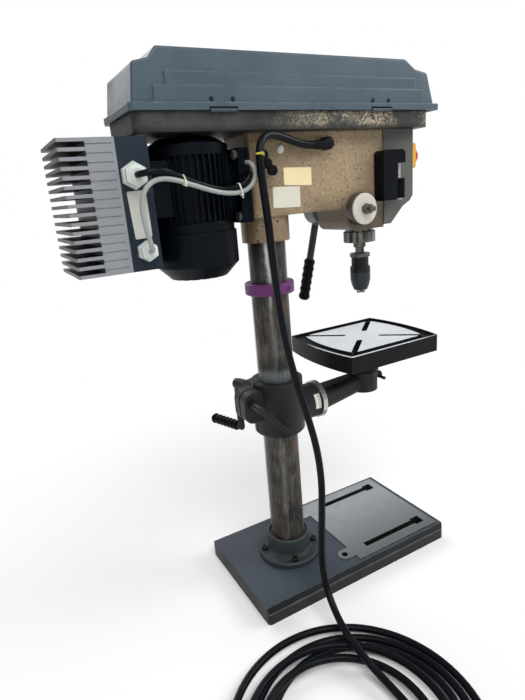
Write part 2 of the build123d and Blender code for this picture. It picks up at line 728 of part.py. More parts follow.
def table_arm():
    """Tilting arm: spigot in the bracket, angle-scale flange, tapering web and table hub."""
    face = -TILT_FACE - GAP
    web_start = face - ARM_FLANGE_T
    arm = rod((0, SPIGOT_L - TILT_FACE - GAP, TILT_Z), (0, face, TILT_Z), SPIGOT_R)
    arm += rod((0, face, TILT_Z), (0, web_start, TILT_Z), TILT_BOSS_R)
    hub_mid = (HUB_LOW + HUB_HIGH) / 2
    root = Plane(origin=(0, web_start + 1, TILT_Z), z_dir=(0, -1, 0))
    end = Plane(origin=(0, SPINDLE_Y, hub_mid), z_dir=(0, -1, 0))
    end_web = RectangleRounded(HUB_R * 1.2, (HUB_HIGH - HUB_LOW) * 0.84, HUB_R / 3)
    arm += loft([root * RectangleRounded(ARM_W, ARM_H, ARM_W / 3), end * end_web])
    arm += cyl(HUB_R, HUB_LOW, HUB_HIGH, 0, SPINDLE_Y)
    arm -= cyl(STEM_R + FIT, HUB_LOW - 1, HUB_HIGH + 1, 0, SPINDLE_Y)
    lock_y = SPINDLE_Y - HUB_R
    arm -= rod((0, SPINDLE_Y, hub_mid), (0, lock_y - 2, hub_mid), LOCK_R + FIT)
    parts["table_arm"] = arm
    ring_end = face - 2 - SCALE_RING_T
    ring = rod((0, face - 2, TILT_Z), (0, ring_end, TILT_Z), SCALE_RING_R)
    parts["tilt_scale_ring"] = ring - rod((0, face, TILT_Z), (0, ring_end - 1, TILT_Z), TILT_BOSS_R + SEAT)
    lever = rod((0, SPINDLE_Y - STEM_R - FIT - GAP, hub_mid), (0, lock_y - 4, hub_mid), LOCK_R)
    lever += rod((0, lock_y - 4, hub_mid), (0, lock_y - 18, hub_mid), LOCK_R * 1.5)
    bar_y = lock_y - 11
    lever += rod((-LOCK_BAR_L / 2, bar_y, hub_mid - 3), (LOCK_BAR_L / 2, bar_y, hub_mid - 3), LOCK_BAR_R)
    parts["table_lock_lever"] = lever


def table_outline(inset):
    """Table plan: straight sides, bowed front and rear edges."""
    x = TABLE_W / 2 - inset
    y = TABLE_L / 2 - inset
    bow = y + TABLE_BULGE
    edges = [
        Line((-x, -y), (-x, y)),
        ThreePointArc((-x, y), (0, bow), (x, y)),
        Line((x, y), (x, -y)),
        ThreePointArc((x, -y), (0, -bow), (-x, -y)),
    ]
    return make_face(edges)


def work_table():
    bottom = TABLE_Z - TABLE_H
    body = Pos(0, 0, bottom) * extrude(table_outline(0), TABLE_H)
    body -= Pos(0, 0, bottom - 1) * extrude(table_outline(TABLE_WALL), TABLE_H - TABLE_PLATE_T + 1)
    trough = table_outline(TROUGH_EDGE) - table_outline(TROUGH_EDGE + TROUGH_W)
    body -= Pos(0, 0, TABLE_Z - TROUGH_D) * extrude(trough, TROUGH_D + 1)
    for x_side in (-1, 1):
        for y_side in (-1, 1):
            turn = degrees(acos(TABLE_W / (TABLE_W**2 + TABLE_L**2) ** 0.5))
            angle = turn if x_side * y_side > 0 else -turn
            middle = (TABLE_SLOT_IN + TABLE_SLOT_OUT) / 2
            slot = SlotOverall(TABLE_SLOT_OUT - TABLE_SLOT_IN, TABLE_SLOT_W)
            place = Rot(0, 0, angle) * Pos(x_side * middle, 0, bottom - 1)
            body -= place * extrude(slot, TABLE_H + 2)
    ribs = cyl(TABLE_BOSS_R, HUB_HIGH + 2 * FIT, TABLE_Z - TABLE_PLATE_T + 1)
    rib_z = (bottom + TABLE_H / 4, TABLE_Z - TABLE_PLATE_T + 1)
    ribs += slab((-TABLE_W / 2 + 1, TABLE_W / 2 - 1), (-RIB_T / 2, RIB_T / 2), rib_z)
    ribs += slab((-RIB_T / 2, RIB_T / 2), (-TABLE_L / 2, TABLE_L / 2), rib_z)
    stem = cyl(STEM_R, HUB_LOW + 2, HUB_HIGH + 1)
    parts["work_table"] = Pos(0, SPINDLE_Y, 0) * (body + ribs + stem)


def head_casting():
    body = slab((-HEAD_X, HEAD_X), (-HEAD_FRONT, HEAD_REAR), (HEAD_BOTTOM, HEAD_TOP))
    body = fillet(body.edges().filter_by(Axis.Z).group_by(Axis.Y)[-1], HEAD_ROUND)
    body += cyl(HEAD_COLLAR_R, COLLAR_BOTTOM, HEAD_BOTTOM + 1)
    lower = slab((-HEAD_X, HEAD_X), (-HEAD_FRONT, -HOUSING_REAR), (HOUSING_BOTTOM, HEAD_BOTTOM + 1))
    lower = fillet(lower.edges().filter_by(Axis.X).group_by(Axis.Z)[0].sort_by(Axis.Y)[-1], HEAD_ROUND * 2)
    body += lower
    body += cyl(NOSE_R, HOUSING_BOTTOM, HEAD_TOP, 0, SPINDLE_Y)
    body += rod((HEAD_X - 1, PINION_Y, PINION_Z), (FEED_BOSS_END, PINION_Y, PINION_Z), FEED_BOSS_R)

    body -= cyl(COLUMN_R + SEAT, COLLAR_BOTTOM - 1, COLUMN_TOP + 1)
    quill_room = QUILL_TOP + HEAD_CAVITY_WALL
    body -= cyl(QUILL_R + FIT, HOUSING_BOTTOM - 1, quill_room, 0, SPINDLE_Y)
    body -= cyl(PULLEY_SLEEVE_R + 1, quill_room - 1, HEAD_TOP + 1, 0, SPINDLE_Y)
    body -= cyl(PULLEY_BEARING_R + SEAT, HEAD_TOP - PULLEY_BEARING_H, HEAD_TOP + 1, 0, SPINDLE_Y)
    pocket = PINION_W / 2 + GAP
    body -= rod((-pocket, PINION_Y, PINION_Z), (pocket, PINION_Y, PINION_Z), GEAR_TIP_R + 2 * GAP)
    bore_ends = [(x, PINION_Y, PINION_Z) for x in (-HEAD_X - 1, FEED_BOSS_END + 1)]
    body -= rod(*bore_ends, FEED_SHAFT_R + FIT)
    cavity_x = HEAD_X - HEAD_CAVITY_WALL
    cavity_y = (PINION_Y + GEAR_TIP_R + HEAD_CAVITY_WALL, -COLUMN_R - HEAD_CAVITY_WALL)
    body -= slab((-cavity_x, cavity_x), cavity_y, (HEAD_BOTTOM + HEAD_CAVITY_WALL, HEAD_TOP + 1))
    for side in (-1, 1):
        body -= rod((side * ROD_X, HEAD_REAR + 1, ROD_Z), (side * ROD_X, cavity_y[1] - 1, ROD_Z), ROD_R + FIT)
    body -= rod((-HEAD_X - 1, WING_Y, ROD_Z), (-ROD_X, WING_Y, ROD_Z), WING_SCREW_R + FIT)
    parts["head_casting"] = body


def quill_and_spindle():
    """Quill with its rack, stop collar and bearings, and the spindle that runs in it."""
    shell = [
        (BEARING_R + SEAT, QUILL_BOTTOM),
        (QUILL_R, QUILL_BOTTOM),
        (QUILL_R, QUILL_TOP),
        (BEARING_R + SEAT, QUILL_TOP),
        (BEARING_R + SEAT, QUILL_TOP - BEARING_H),
        (QUILL_BORE_R, QUILL_TOP - BEARING_H),
        (QUILL_BORE_R, QUILL_BOTTOM + BEARING_H),
        (BEARING_R + SEAT, QUILL_BOTTOM + BEARING_H),
    ]
    quill = turned(shell, 0, SPINDLE_Y)
    root, tip = RACK_PITCH - tooth_widths()[1], RACK_PITCH - tooth_widths()[0]
    deep = QUILL_PITCH - DEDENDUM * MODULE
    notch_half = PINION_W / 2 + GAP
    notch_top = (root - tip) / ((ADDENDUM + DEDENDUM) * MODULE) / 2
    over = 1.0
    for k in range(-2, ceil(QUILL_TRAVEL / RACK_PITCH) + 3):
        z = PINION_Z + k * RACK_PITCH
        outer = SPINDLE_Y + QUILL_R + over
        wide = root / 2 + over * notch_top
        inner = SPINDLE_Y + deep
        notch = [(inner, z - tip / 2), (outer, z - wide), (outer, z + wide), (inner, z + tip / 2)]
        quill -= prism_x(notch, -notch_half, notch_half)
    parts["quill"] = quill

    collar_top = QUILL_BOTTOM + COLLAR_RING_H
    collar = turned(
        [
            (QUILL_R + SEAT, QUILL_BOTTOM),
            (COLLAR_RING_R - 1, QUILL_BOTTOM),
            (COLLAR_RING_R, QUILL_BOTTOM + 1),
            (COLLAR_RING_R, collar_top - 1),
            (COLLAR_RING_R - 1, collar_top),
            (QUILL_R + SEAT, collar_top),
        ]
    )
    slit_x = (-COLLAR_SLIT / 2, COLLAR_SLIT / 2)
    collar -= slab(slit_x, (-COLLAR_RING_R - 1, 0), (QUILL_BOTTOM - 1, collar_top + 1))
    parts["quill_collar"] = Pos(0, SPINDLE_Y, 0) * collar

    bearings = []
    for low in (QUILL_BOTTOM, QUILL_TOP - BEARING_H):
        inner, high = SPINDLE_R + FIT, low + BEARING_H
        ring = [(inner, low), (BEARING_R, low), (BEARING_R, high), (inner, high)]
        bearings.append(turned(ring, 0, SPINDLE_Y))
    parts["spindle_bearings"] = Compound(children=bearings)

    nose = QUILL_BOTTOM - NOSE_L
    spindle = turned(
        [
            (0, CHUCK_TOP - CHUCK_FLANGE_H * 2),
            (NECK_R - 1, CHUCK_TOP - CHUCK_FLANGE_H * 2),
            (NECK_R, CHUCK_TOP + 4),
            (NECK_R, nose),
            (SPINDLE_R - 1, nose),
            (SPINDLE_R, nose + 1),
            (SPINDLE_R, QUILL_TOP),
            (SPLINE_R, QUILL_TOP + 2),
            (SPLINE_R, SPINDLE_TOP),
            (0, SPINDLE_TOP),
        ]
    )
    teeth = PolarLocations(0, SPLINES) * (Pos(SPLINE_TIP_R / 2, 0) * Rectangle(SPLINE_TIP_R, SPLINE_W))
    spindle += Pos(0, 0, QUILL_TOP + 6) * extrude(Sketch() + teeth, SPINDLE_TOP - QUILL_TOP - 8)
    parts["spindle"] = Pos(0, SPINDLE_Y, 0) * spindle


def chuck():
    """Keyless chuck: core on the spindle taper, turning sleeve and three sloping jaws."""
    slope = tan(radians(JAW_ANGLE))
    core_low = CHUCK_SLEEVE_BOTTOM + 1
    core = turned(
        [
            (0, core_low),
            (CHUCK_MOUTH_R - GAP, core_low),
            (CHUCK_CORE_R, core_low + 22),
            (CHUCK_CORE_R, CHUCK_SLEEVE_TOP + GAP),
            (CHUCK_BODY_R, CHUCK_SLEEVE_TOP + GAP),
            (CHUCK_BODY_R, CHUCK_TOP - CHUCK_FLANGE_H),
            (CHUCK_FLANGE_R, CHUCK_TOP - CHUCK_FLANGE_H),
            (CHUCK_FLANGE_R, CHUCK_TOP - 1),
            (CHUCK_FLANGE_R - 1, CHUCK_TOP),
            (0, CHUCK_TOP),
        ]
    )
    taper_low = CHUCK_TOP - CHUCK_FLANGE_H * 2
    taper = Cone(NECK_R - 1 + SEAT, NECK_R + SEAT, CHUCK_TOP + 4 - taper_low + 1, align=STANDING)
    core -= Pos(0, 0, taper_low - 1) * taper
    core -= cyl(GRIP_R + 4, core_low - 1, CHUCK_SLEEVE_TOP - 12)
    sleeve_wall = CHUCK_CORE_R + GAP
    sleeve = turned(
        [
            (CHUCK_MOUTH_R, CHUCK_SLEEVE_BOTTOM),
            (CHUCK_NOSE_R, CHUCK_SLEEVE_BOTTOM),
            (CHUCK_SLEEVE_R - 1, core_low + 16),
            (CHUCK_SLEEVE_R, core_low + 20),
            (CHUCK_SLEEVE_R, CHUCK_SLEEVE_TOP - 1),
            (CHUCK_SLEEVE_R - 1, CHUCK_SLEEVE_TOP),
            (sleeve_wall, CHUCK_SLEEVE_TOP),
            (sleeve_wall, core_low + 22 - GAP),
            (CHUCK_MOUTH_R, core_low - GAP),
        ]
    )
    jaw_reach = slope * JAW_L + JAW_TIP_OFFSET
    for k in range(3):
        turn = Rot(0, 0, 90 + 120 * k)
        low = (JAW_TIP_OFFSET, 0, CHUCK_TIP)
        high = (jaw_reach, 0, CHUCK_TIP + JAW_L)
        beyond = (jaw_reach + slope * 16, 0, CHUCK_TIP + JAW_L + 16)
        jaw = rod(low, high, JAW_R) - slab((-20, 30), (-20, 20), (CHUCK_TIP - 5, CHUCK_TIP + 1))
        wedge_r = 30.0
        flank = radians(59.0)
        half = wedge_r * sin(flank)
        wedge = [(JAW_APEX, 0), (JAW_APEX + wedge_r * cos(flank), half), (40, half)]
        wedge += [(x, -y) for x, y in reversed(wedge[1:])]
        jaw = jaw & (Pos(0, 0, CHUCK_TIP - 5) * extrude(outline(wedge), JAW_L + 20))
        jaw -= cyl(GRIP_R, CHUCK_TIP - 5, CHUCK_TIP + JAW_L + 5)
        core -= turn * rod(low, beyond, JAW_R + FIT)
        parts[f"chuck_jaw_{k + 1}"] = Pos(0, SPINDLE_Y, 0) * turn * jaw
    parts["chuck_body"] = Pos(0, SPINDLE_Y, 0) * core
    parts["chuck_sleeve"] = Pos(0, SPINDLE_Y, 0) * sleeve


def feed():
    """Pinion shaft across the head, hub with its handles, and the spiral return spring in its cup."""
    shaft_in = CUP_END + CUP_WALL
    shaft = rod((shaft_in, PINION_Y, PINION_Z), (FEED_HUB_END - 14, PINION_Y, PINION_Z), FEED_SHAFT_R)
    gear_place = Plane(origin=(0, PINION_Y, PINION_Z), x_dir=(0, -1, 0), z_dir=(1, 0, 0))
    shaft += gear_place * spur_gear(PINION_W)
    shaft += rod((CAP_END - STUD_L, PINION_Y, PINION_Z), (shaft_in, PINION_Y, PINION_Z), STUD_R)
    nuts = []
    nut = hexagon(2 * NUT_R, 0, NUT_T, STUD_R + SEAT)
    for k in range(2):
        place = Plane(origin=(CAP_END - GAP - k * (NUT_T + 1), PINION_Y, PINION_Z), z_dir=(-1, 0, 0))
        nuts.append(place * (Rot(0, 0, 20 * k) * nut))
    parts["feed_shaft"] = Compound(children=[shaft] + nuts)

    hub_in = FEED_BOSS_END + GAP
    hub = turned_x(
        [
            (hub_in, FEED_SHAFT_R + SEAT),
            (hub_in, FEED_HUB_R - 3),
            (hub_in + 4, FEED_HUB_R),
            (FEED_HUB_END - 16, FEED_HUB_R),
            (FEED_HUB_END - 6, FEED_HUB_R * 0.72),
            (FEED_HUB_END, FEED_HUB_R * 0.4),
            (FEED_HUB_END, 0),
            (FEED_HUB_END - 14 + SEAT, 0),
            (FEED_HUB_END - 14 + SEAT, FEED_SHAFT_R + SEAT),
        ],
        PINION_Y,
        PINION_Z,
    )
    cone = radians(LEVER_CONE)
    grips = []
    for k in range(FEED_LEVERS):
        turn = radians(LEVER_TURN + 360 / FEED_LEVERS * k)
        aim = Vector(sin(cone), cos(cone) * sin(turn), -cos(cone) * cos(turn))
        foot = Vector(HUB_MID, PINION_Y, PINION_Z) + aim * (FEED_SHAFT_R + 6)
        tip = foot + aim * FEED_LEVER_L
        hub += rod(tuple(foot), tuple(tip), FEED_LEVER_R)
        grip = scalloped_grip(FEED_GRIP_L, FEED_GRIP_R, FEED_LEVER_R + SEAT, 5)
        start = tip - aim * (FEED_GRIP_L * 0.35)
        grips.append(Plane(origin=start, z_dir=aim) * grip)
    parts["feed_hub"] = hub
    parts["feed_grips"] = Compound(children=grips)

    cup = turned_x(
        [
            (-HEAD_X, FEED_SHAFT_R + GAP),
            (-HEAD_X, CUP_R),
            (CUP_END + 1, CUP_R),
            (CUP_END, CUP_R - 1),
            (CUP_END, CUP_R - CUP_WALL),
            (-HEAD_X - CUP_WALL, CUP_R - CUP_WALL),
            (-HEAD_X - CUP_WALL, FEED_SHAFT_R + GAP),
        ],
        PINION_Y,
        PINION_Z,
    )
    parts["spring_housing"] = cup
    hole = STUD_R + GAP
    cap = [(CUP_END, hole), (CUP_END, CAP_R), (CAP_END + 1, CAP_R), (CAP_END, CAP_R - 1), (CAP_END, hole)]
    parts["spring_cap"] = turned_x(cap, PINION_Y, PINION_Z)

    spring_in = FEED_SHAFT_R + 2.0
    edges = []
    for k in range(2 * SPRING_TURNS):
        side = 1 if k % 2 == 0 else -1
        start = side * (spring_in + k * SPRING_PITCH / 2)
        end = -side * (spring_in + (k + 1) * SPRING_PITCH / 2)
        edges.append(ThreePointArc((start, 0), ((start + end) / 2, side * abs(end - start) / 2), (end, 0)))
    strip = trace(Curve() + edges, SPRING_STRIP)
    deep = CUP_L - 2 * CUP_WALL
    place = Plane(origin=(-HEAD_X - CUP_WALL, PINION_Y, PINION_Z), z_dir=(-1, 0, 0))
    parts["return_spring"] = place * extrude(strip, deep)


def front_box():
    """Sheet switch box over the quill nose, with the emergency stop on its front."""
    profile = [
        (-HEAD_FRONT, BOX_BOTTOM),
        (-HEAD_FRONT - 17, BOX_BOTTOM),
        (-BOX_FRONT + 26, BOX_KNEE - 9),
        (-BOX_FRONT + 8, BOX_KNEE),
        (-BOX_FRONT, BOX_KNEE + 10),
        (-BOX_FRONT, HEAD_TOP),
        (-HEAD_FRONT, HEAD_TOP),
    ]
    x = BOX_W / 2
    body = prism_x(profile, -x, x)
    inner = [
        (-HEAD_FRONT + 1, BOX_BOTTOM - 1),
        (-HEAD_FRONT - 15.5, BOX_BOTTOM + BOX_WALL),
        (-BOX_FRONT + 26 + 1, BOX_KNEE - 9 + BOX_WALL),
        (-BOX_FRONT + BOX_WALL + 6, BOX_KNEE + BOX_WALL),
        (-BOX_FRONT + BOX_WALL, BOX_KNEE + 11),
        (-BOX_FRONT + BOX_WALL, HEAD_TOP - BOX_WALL),
        (-HEAD_FRONT + 1, HEAD_TOP - BOX_WALL),
    ]
    body -= prism_x(inner, -x + BOX_WALL, x - BOX_WALL)
    body -= cyl(NOSE_R + SEAT, BOX_BOTTOM - 2, HEAD_TOP + 1, 0, SPINDLE_Y)
    body -= rod((ESTOP_X, -BOX_FRONT - 1, ESTOP_Z), (ESTOP_X, -BOX_FRONT + 10, ESTOP_Z), ESTOP_R / 2 + GAP)
    parts["front_switch_box"] = body

    half = ESTOP_BASE / 2
    base_front = -BOX_FRONT - ESTOP_BASE_T
    base = slab((ESTOP_X - half, ESTOP_X + half), (base_front, -BOX_FRONT), (ESTOP_Z - half, ESTOP_Z + half))
    base = chamfer(base.edges().filter_by(Axis.Y), 3.0)
    base -= rod((ESTOP_X, base_front - 1, ESTOP_Z), (ESTOP_X, 1 - BOX_FRONT, ESTOP_Z), ESTOP_R / 2 + FIT)
    parts["estop_base"] = base
    cap_back = base_front - ESTOP_TRAVEL - 1
    button = revolve(
        outline(
            [
                (0, -BOX_FRONT + 2),
                (ESTOP_R / 2, -BOX_FRONT + 2),
                (ESTOP_R / 2, cap_back),
                (ESTOP_R - 2, cap_back),
                (ESTOP_R, cap_back - 2),
                (ESTOP_R, cap_back - 5),
                (ESTOP_R * 0.8, cap_back - 9),
                (ESTOP_R * 0.4, cap_back - 11),
                (0, cap_back - 11.5),
            ]
        ),
        Axis.Y,
    )
    parts["estop_button"] = Pos(ESTOP_X, 0, ESTOP_Z) * button


def guard_hinge():
    """Hinge block of the chuck guard on the side of the head, with its pin and toothed knuckle."""
    x_in = -BOX_W / 2
    x_out = x_in - GUARD_D
    y = (-GUARD_Y - GUARD_W / 2, -GUARD_Y + GUARD_W / 2)
    pin_x = x_out + KNUCKLE_R + 1.5
    pin_y = y[0] + GUARD_PIN_IN
    block = slab((x_out, x_in), y, (GUARD_LOW, GUARD_TOP))
    block = fillet(block.edges().filter_by(Axis.X).group_by(Axis.Z)[-1], 8.0)
    room = KNUCKLE_R + 3.5
    block -= slab((x_out - 1, x_out + 2 * room), (y[0] - 1, pin_y + room), (GUARD_LOW - 1, GUARD_TOP - 24))
    block -= cyl(GUARD_PIN_R + SEAT, GUARD_LOW - 1, GUARD_TOP - 6, pin_x, pin_y)
    parts["guard_hinge_block"] = block
    pin = cyl(GUARD_PIN_R, GUARD_LOW + 2, GUARD_TOP - 8, pin_x, pin_y)
    parts["guard_hinge_pin"] = pin + cyl(GUARD_PIN_R + 2.5, GUARD_LOW - 1, GUARD_LOW + 2, pin_x, pin_y)
    teeth = 14
    ring = Circle(KNUCKLE_R - 1.5) + PolarLocations(KNUCKLE_R - 1.5, teeth) * Rectangle(3.0, 2.4)
    knuckle = extrude(ring, KNUCKLE_TOP - GUARD_LOW - 4) - cyl(GUARD_PIN_R + FIT, -1, GUARD_TOP)
    parts["guard_knuckle"] = Pos(pin_x, pin_y, GUARD_LOW + 2 + GAP) * knuckle


def long_plan(front, rear, width, corner):
    return Pos(0, (rear - front) / 2) * RectangleRounded(width, front + rear, corner)


def belt_tray():
    """Sheet pan under the lid that carries the lid's hinges."""
    plan = long_plan(TRAY_FRONT, TRAY_REAR, TRAY_W, TRAY_CORNER)
    inner = long_plan(TRAY_FRONT - TRAY_T, TRAY_REAR - TRAY_T, TRAY_W - 2 * TRAY_T, TRAY_CORNER - TRAY_T)
    tray = Pos(0, 0, HEAD_TOP) * extrude(plan, TRAY_H)
    tray -= Pos(0, 0, HEAD_TOP + TRAY_T) * extrude(inner, TRAY_H)
    tray -= cyl(PULLEY_SLEEVE_R + 4, HEAD_TOP - 1, TRAY_TOP, 0, SPINDLE_Y)
    slot = Pos(0, MOTOR_Y) * (Rot(0, 0, 90) * SlotCenterToCenter(24, 2 * SHAFT_R + 10))
    tray -= Pos(0, 0, HEAD_TOP - 1) * extrude(slot, TRAY_H)
    rim = (-TRAY_W / 2 - 1, -TRAY_W / 2 + TRAY_T + 1)
    tab = HINGE_L / 6 + SEAT
    for y in (HINGE_REAR_Y, HINGE_FRONT_Y):
        tray -= slab(rim, (y - tab, y + tab), (TRAY_TOP - LEAF_T - SEAT, TRAY_TOP + 1))
    for y, z in rivet_places():
        tray -= rod((rim[0], y, z), (rim[1], y, z), RIVET_R + SEAT)
    parts["belt_tray"] = tray


def lid_profile(low):
    """Side view of the lid as (y, z): leaning ends, sloping brows and the raised crown."""
    rear_foot = LID_REAR - LIP_STEP
    rear_shoulder = rear_foot - REAR_LEAN
    rear_ramp = rear_shoulder - REAR_BROW
    front_foot = LIP_STEP_FRONT - LID_FRONT
    front_shoulder = front_foot + FRONT_LEAN
    front_ramp = front_shoulder + FRONT_BROW
    below = (LIP_TOP - low) / (LID_SHOULDER - LIP_TOP)
    brow = LID_SHOULDER + BROW_RISE
    return outline(
        [
            (rear_foot + REAR_LEAN * below, low),
            (rear_shoulder, LID_SHOULDER),
            (rear_ramp, brow),
            (rear_ramp - REAR_RAMP, LID_TOP),
            (front_ramp + FRONT_RAMP, LID_TOP),
            (front_ramp, brow),
            (front_shoulder, LID_SHOULDER),
            (front_foot - FRONT_LEAN * below, low),
        ]
    )


def lid_section(low):
    """Cross-section of the lid as (x, z), with leaning flanks."""
    foot = LID_FLANK + SIDE_LEAN * (LIP_TOP - low) / (LID_TOP - LIP_TOP)
    crown = LID_FLANK - SIDE_LEAN
    return outline([(-foot, low), (foot, low), (crown, LID_TOP), (-crown, LID_TOP)])


def lid_form(profile, section):
    """Block that has the profile from the side and the section from the end."""
    along_x = Pos(-LID_W / 2, 0, 0) * extrude(Plane.YZ * profile, LID_W)
    along_y = Pos(0, LID_REAR, 0) * extrude(Plane.XZ * section, LID_FRONT + LID_REAR)
    return along_x & along_y


def lid():
    """Moulded lid: rolled lip, leaning walls with stepped side panels and a raised crown."""
    low = LID_LOW - LIP_H
    profile, section = lid_profile(low), lid_section(low)
    form = lid_form(fillet(profile.vertices(), LID_ROUND), section)
    flanks = form.faces().sort_by(Axis.X)
    edges = [e for face in (flanks[0], flanks[-1]) for e in face.edges() if e.center().Z > LIP_TOP]
    form = fillet(edges, LID_ROUND * 0.7)
    body = form & slab((-LID_W, LID_W), (-LID_FRONT, LID_REAR), (LID_LOW, LID_TOP + 1))
    body += Pos(0, 0, LID_LOW) * extrude(long_plan(LID_FRONT, LID_REAR, LID_W, LID_CORNER), LIP_H)
    panels = (
        (PANEL_FACE, PANEL_LOW_IN, TRAY_TOP + PANEL_LOW_H),
        (PANEL_FACE - STEP_D, PANEL_HIGH_IN, TRAY_TOP + PANEL_HIGH_H),
    )
    for face, inwards, top in panels:
        panel_y = (inwards - LID_FRONT, LID_REAR - inwards)
        panel = slab((-face, face), panel_y, (LID_LOW + LIP_H / 2, top))
        body += fillet(panel.edges(), STEP_D * 0.6)
    hollow = lid_form(offset(profile, -LID_WALL), offset(section, -LID_WALL))
    body -= hollow
    notch = HINGE_L / 2 + 2
    for y in (HINGE_REAR_Y, HINGE_FRONT_Y):
        notch_z = (LID_LOW - 1, TRAY_TOP + HINGE_R + 2)
        body -= slab((-LID_W / 2 - 1, LEAF_X + LEAF_T + 2), (y - notch, y + notch), notch_z)
    for y, z in hinge_screw_places():
        body -= rod((-LID_W / 2, y, z), (LEAF_X, y, z), HINGE_SCREW_R / 2 + SEAT)
    parts["lid"] = body


def hinge_screw_places():
    half = HINGE_SCREW_SPACING / 2
    screw_z = LIP_TOP + 1.5 * HINGE_SCREW_R
    return [(y + step, screw_z) for y in (HINGE_REAR_Y, HINGE_FRONT_Y) for step in (-half, half)]


def rivet_places():
    half = HINGE_L / 3
    rivet_z = TRAY_TOP - LEAF_H + 3 * RIVET_R
    return [(y + step, rivet_z) for y in (HINGE_REAR_Y, HINGE_FRONT_Y) for step in (-half, half)]


def lid_hinges():
    """Two butt hinges: leaf riveted inside the tray's wall, leaf inside the lid, pin and screws."""
    lid_leaves, tray_leaves = [], []
    third = HINGE_L / 3
    wall_in = -TRAY_W / 2 + TRAY_T
    for y in (HINGE_REAR_Y, HINGE_FRONT_Y):
        low, high = y - HINGE_L / 2, y + HINGE_L / 2
        middle = (low + third, high - third)
        tray_leaf = slab((wall_in, wall_in + LEAF_T), (low, high), (TRAY_TOP - LEAF_H, TRAY_TOP))
        tray_leaf += slab((HINGE_X, wall_in + LEAF_T), middle, (TRAY_TOP - LEAF_T, TRAY_TOP))
        tray_leaf += rod((HINGE_X, middle[0], TRAY_TOP), (HINGE_X, middle[1], TRAY_TOP), HINGE_R)
        tray_leaf -= rod((HINGE_X, low, TRAY_TOP), (HINGE_X, high, TRAY_TOP), HINGE_PIN_R + SEAT)
        for rivet_y, z in rivet_places():
            if low < rivet_y < high:
                head = -TRAY_W / 2 - RIVET_R / 2
                tray_leaf += rod((wall_in + 1, rivet_y, z), (head, rivet_y, z), RIVET_R)
                tray_leaf += rod((-TRAY_W / 2, rivet_y, z), (head, rivet_y, z), RIVET_R * 1.8, RIVET_R * 1.2)
        pin = rod((HINGE_X, low, TRAY_TOP), (HINGE_X, high, TRAY_TOP), HINGE_PIN_R)
        tray_leaves += [tray_leaf, pin]
        leaf_low = TRAY_TOP + HINGE_R - LEAF_T
        lid_leaf = slab((LEAF_X, LEAF_X + LEAF_T), (low, high), (leaf_low, LEAF_TOP))
        for end in ((low, low + third - GAP), (high - third + GAP, high)):
            lid_leaf += slab((HINGE_X, LEAF_X + LEAF_T), end, (leaf_low, leaf_low + LEAF_T))
            lid_leaf += rod((HINGE_X, end[0], TRAY_TOP), (HINGE_X, end[1], TRAY_TOP), HINGE_R)
        lid_leaf -= rod((HINGE_X, low - 1, TRAY_TOP), (HINGE_X, high + 1, TRAY_TOP), HINGE_PIN_R + FIT)
        lid_leaves.append(lid_leaf)
    face = -PANEL_FACE
    for y, z in hinge_screw_places():
        screw = rod((LEAF_X, y, z), (face, y, z), HINGE_SCREW_R / 2)
        screw += rod((face, y, z), (face - 2, y, z), HINGE_SCREW_R, HINGE_SCREW_R * 0.7)
        lid_leaves.append(screw)
    parts["tray_hinges"] = Compound(children=tray_leaves)
    parts["lid_hinges"] = Compound(children=lid_leaves)


def stepped_pulley(upward, bore):
    """Four-step V pulley; its largest step is at the top when upward is true."""
    points = [(bore, PULLEY_LOW)]
    for k in range(PULLEY_STEPS):
        radius = step_radius(k, upward)
        low = PULLEY_LOW + k * PULLEY_STEP_H
        middle = low + PULLEY_STEP_H / 2
        points += [
            (radius, low),
            (radius, middle - GROOVE_TOP / 2),
            (radius - GROOVE_D, middle - GROOVE_BOTTOM / 2),
            (radius - GROOVE_D, middle + GROOVE_BOTTOM / 2),
            (radius, middle + GROOVE_TOP / 2),
            (radius, low + PULLEY_STEP_H),
        ]
    points.append((bore, PULLEY_LOW + PULLEY_STEPS * PULLEY_STEP_H))
    return turned(points)


def step_radius(k, upward):
    place = PULLEY_STEPS - 1 - k if upward else k
    return PULLEY_BIG_R - place * PULLEY_DROP


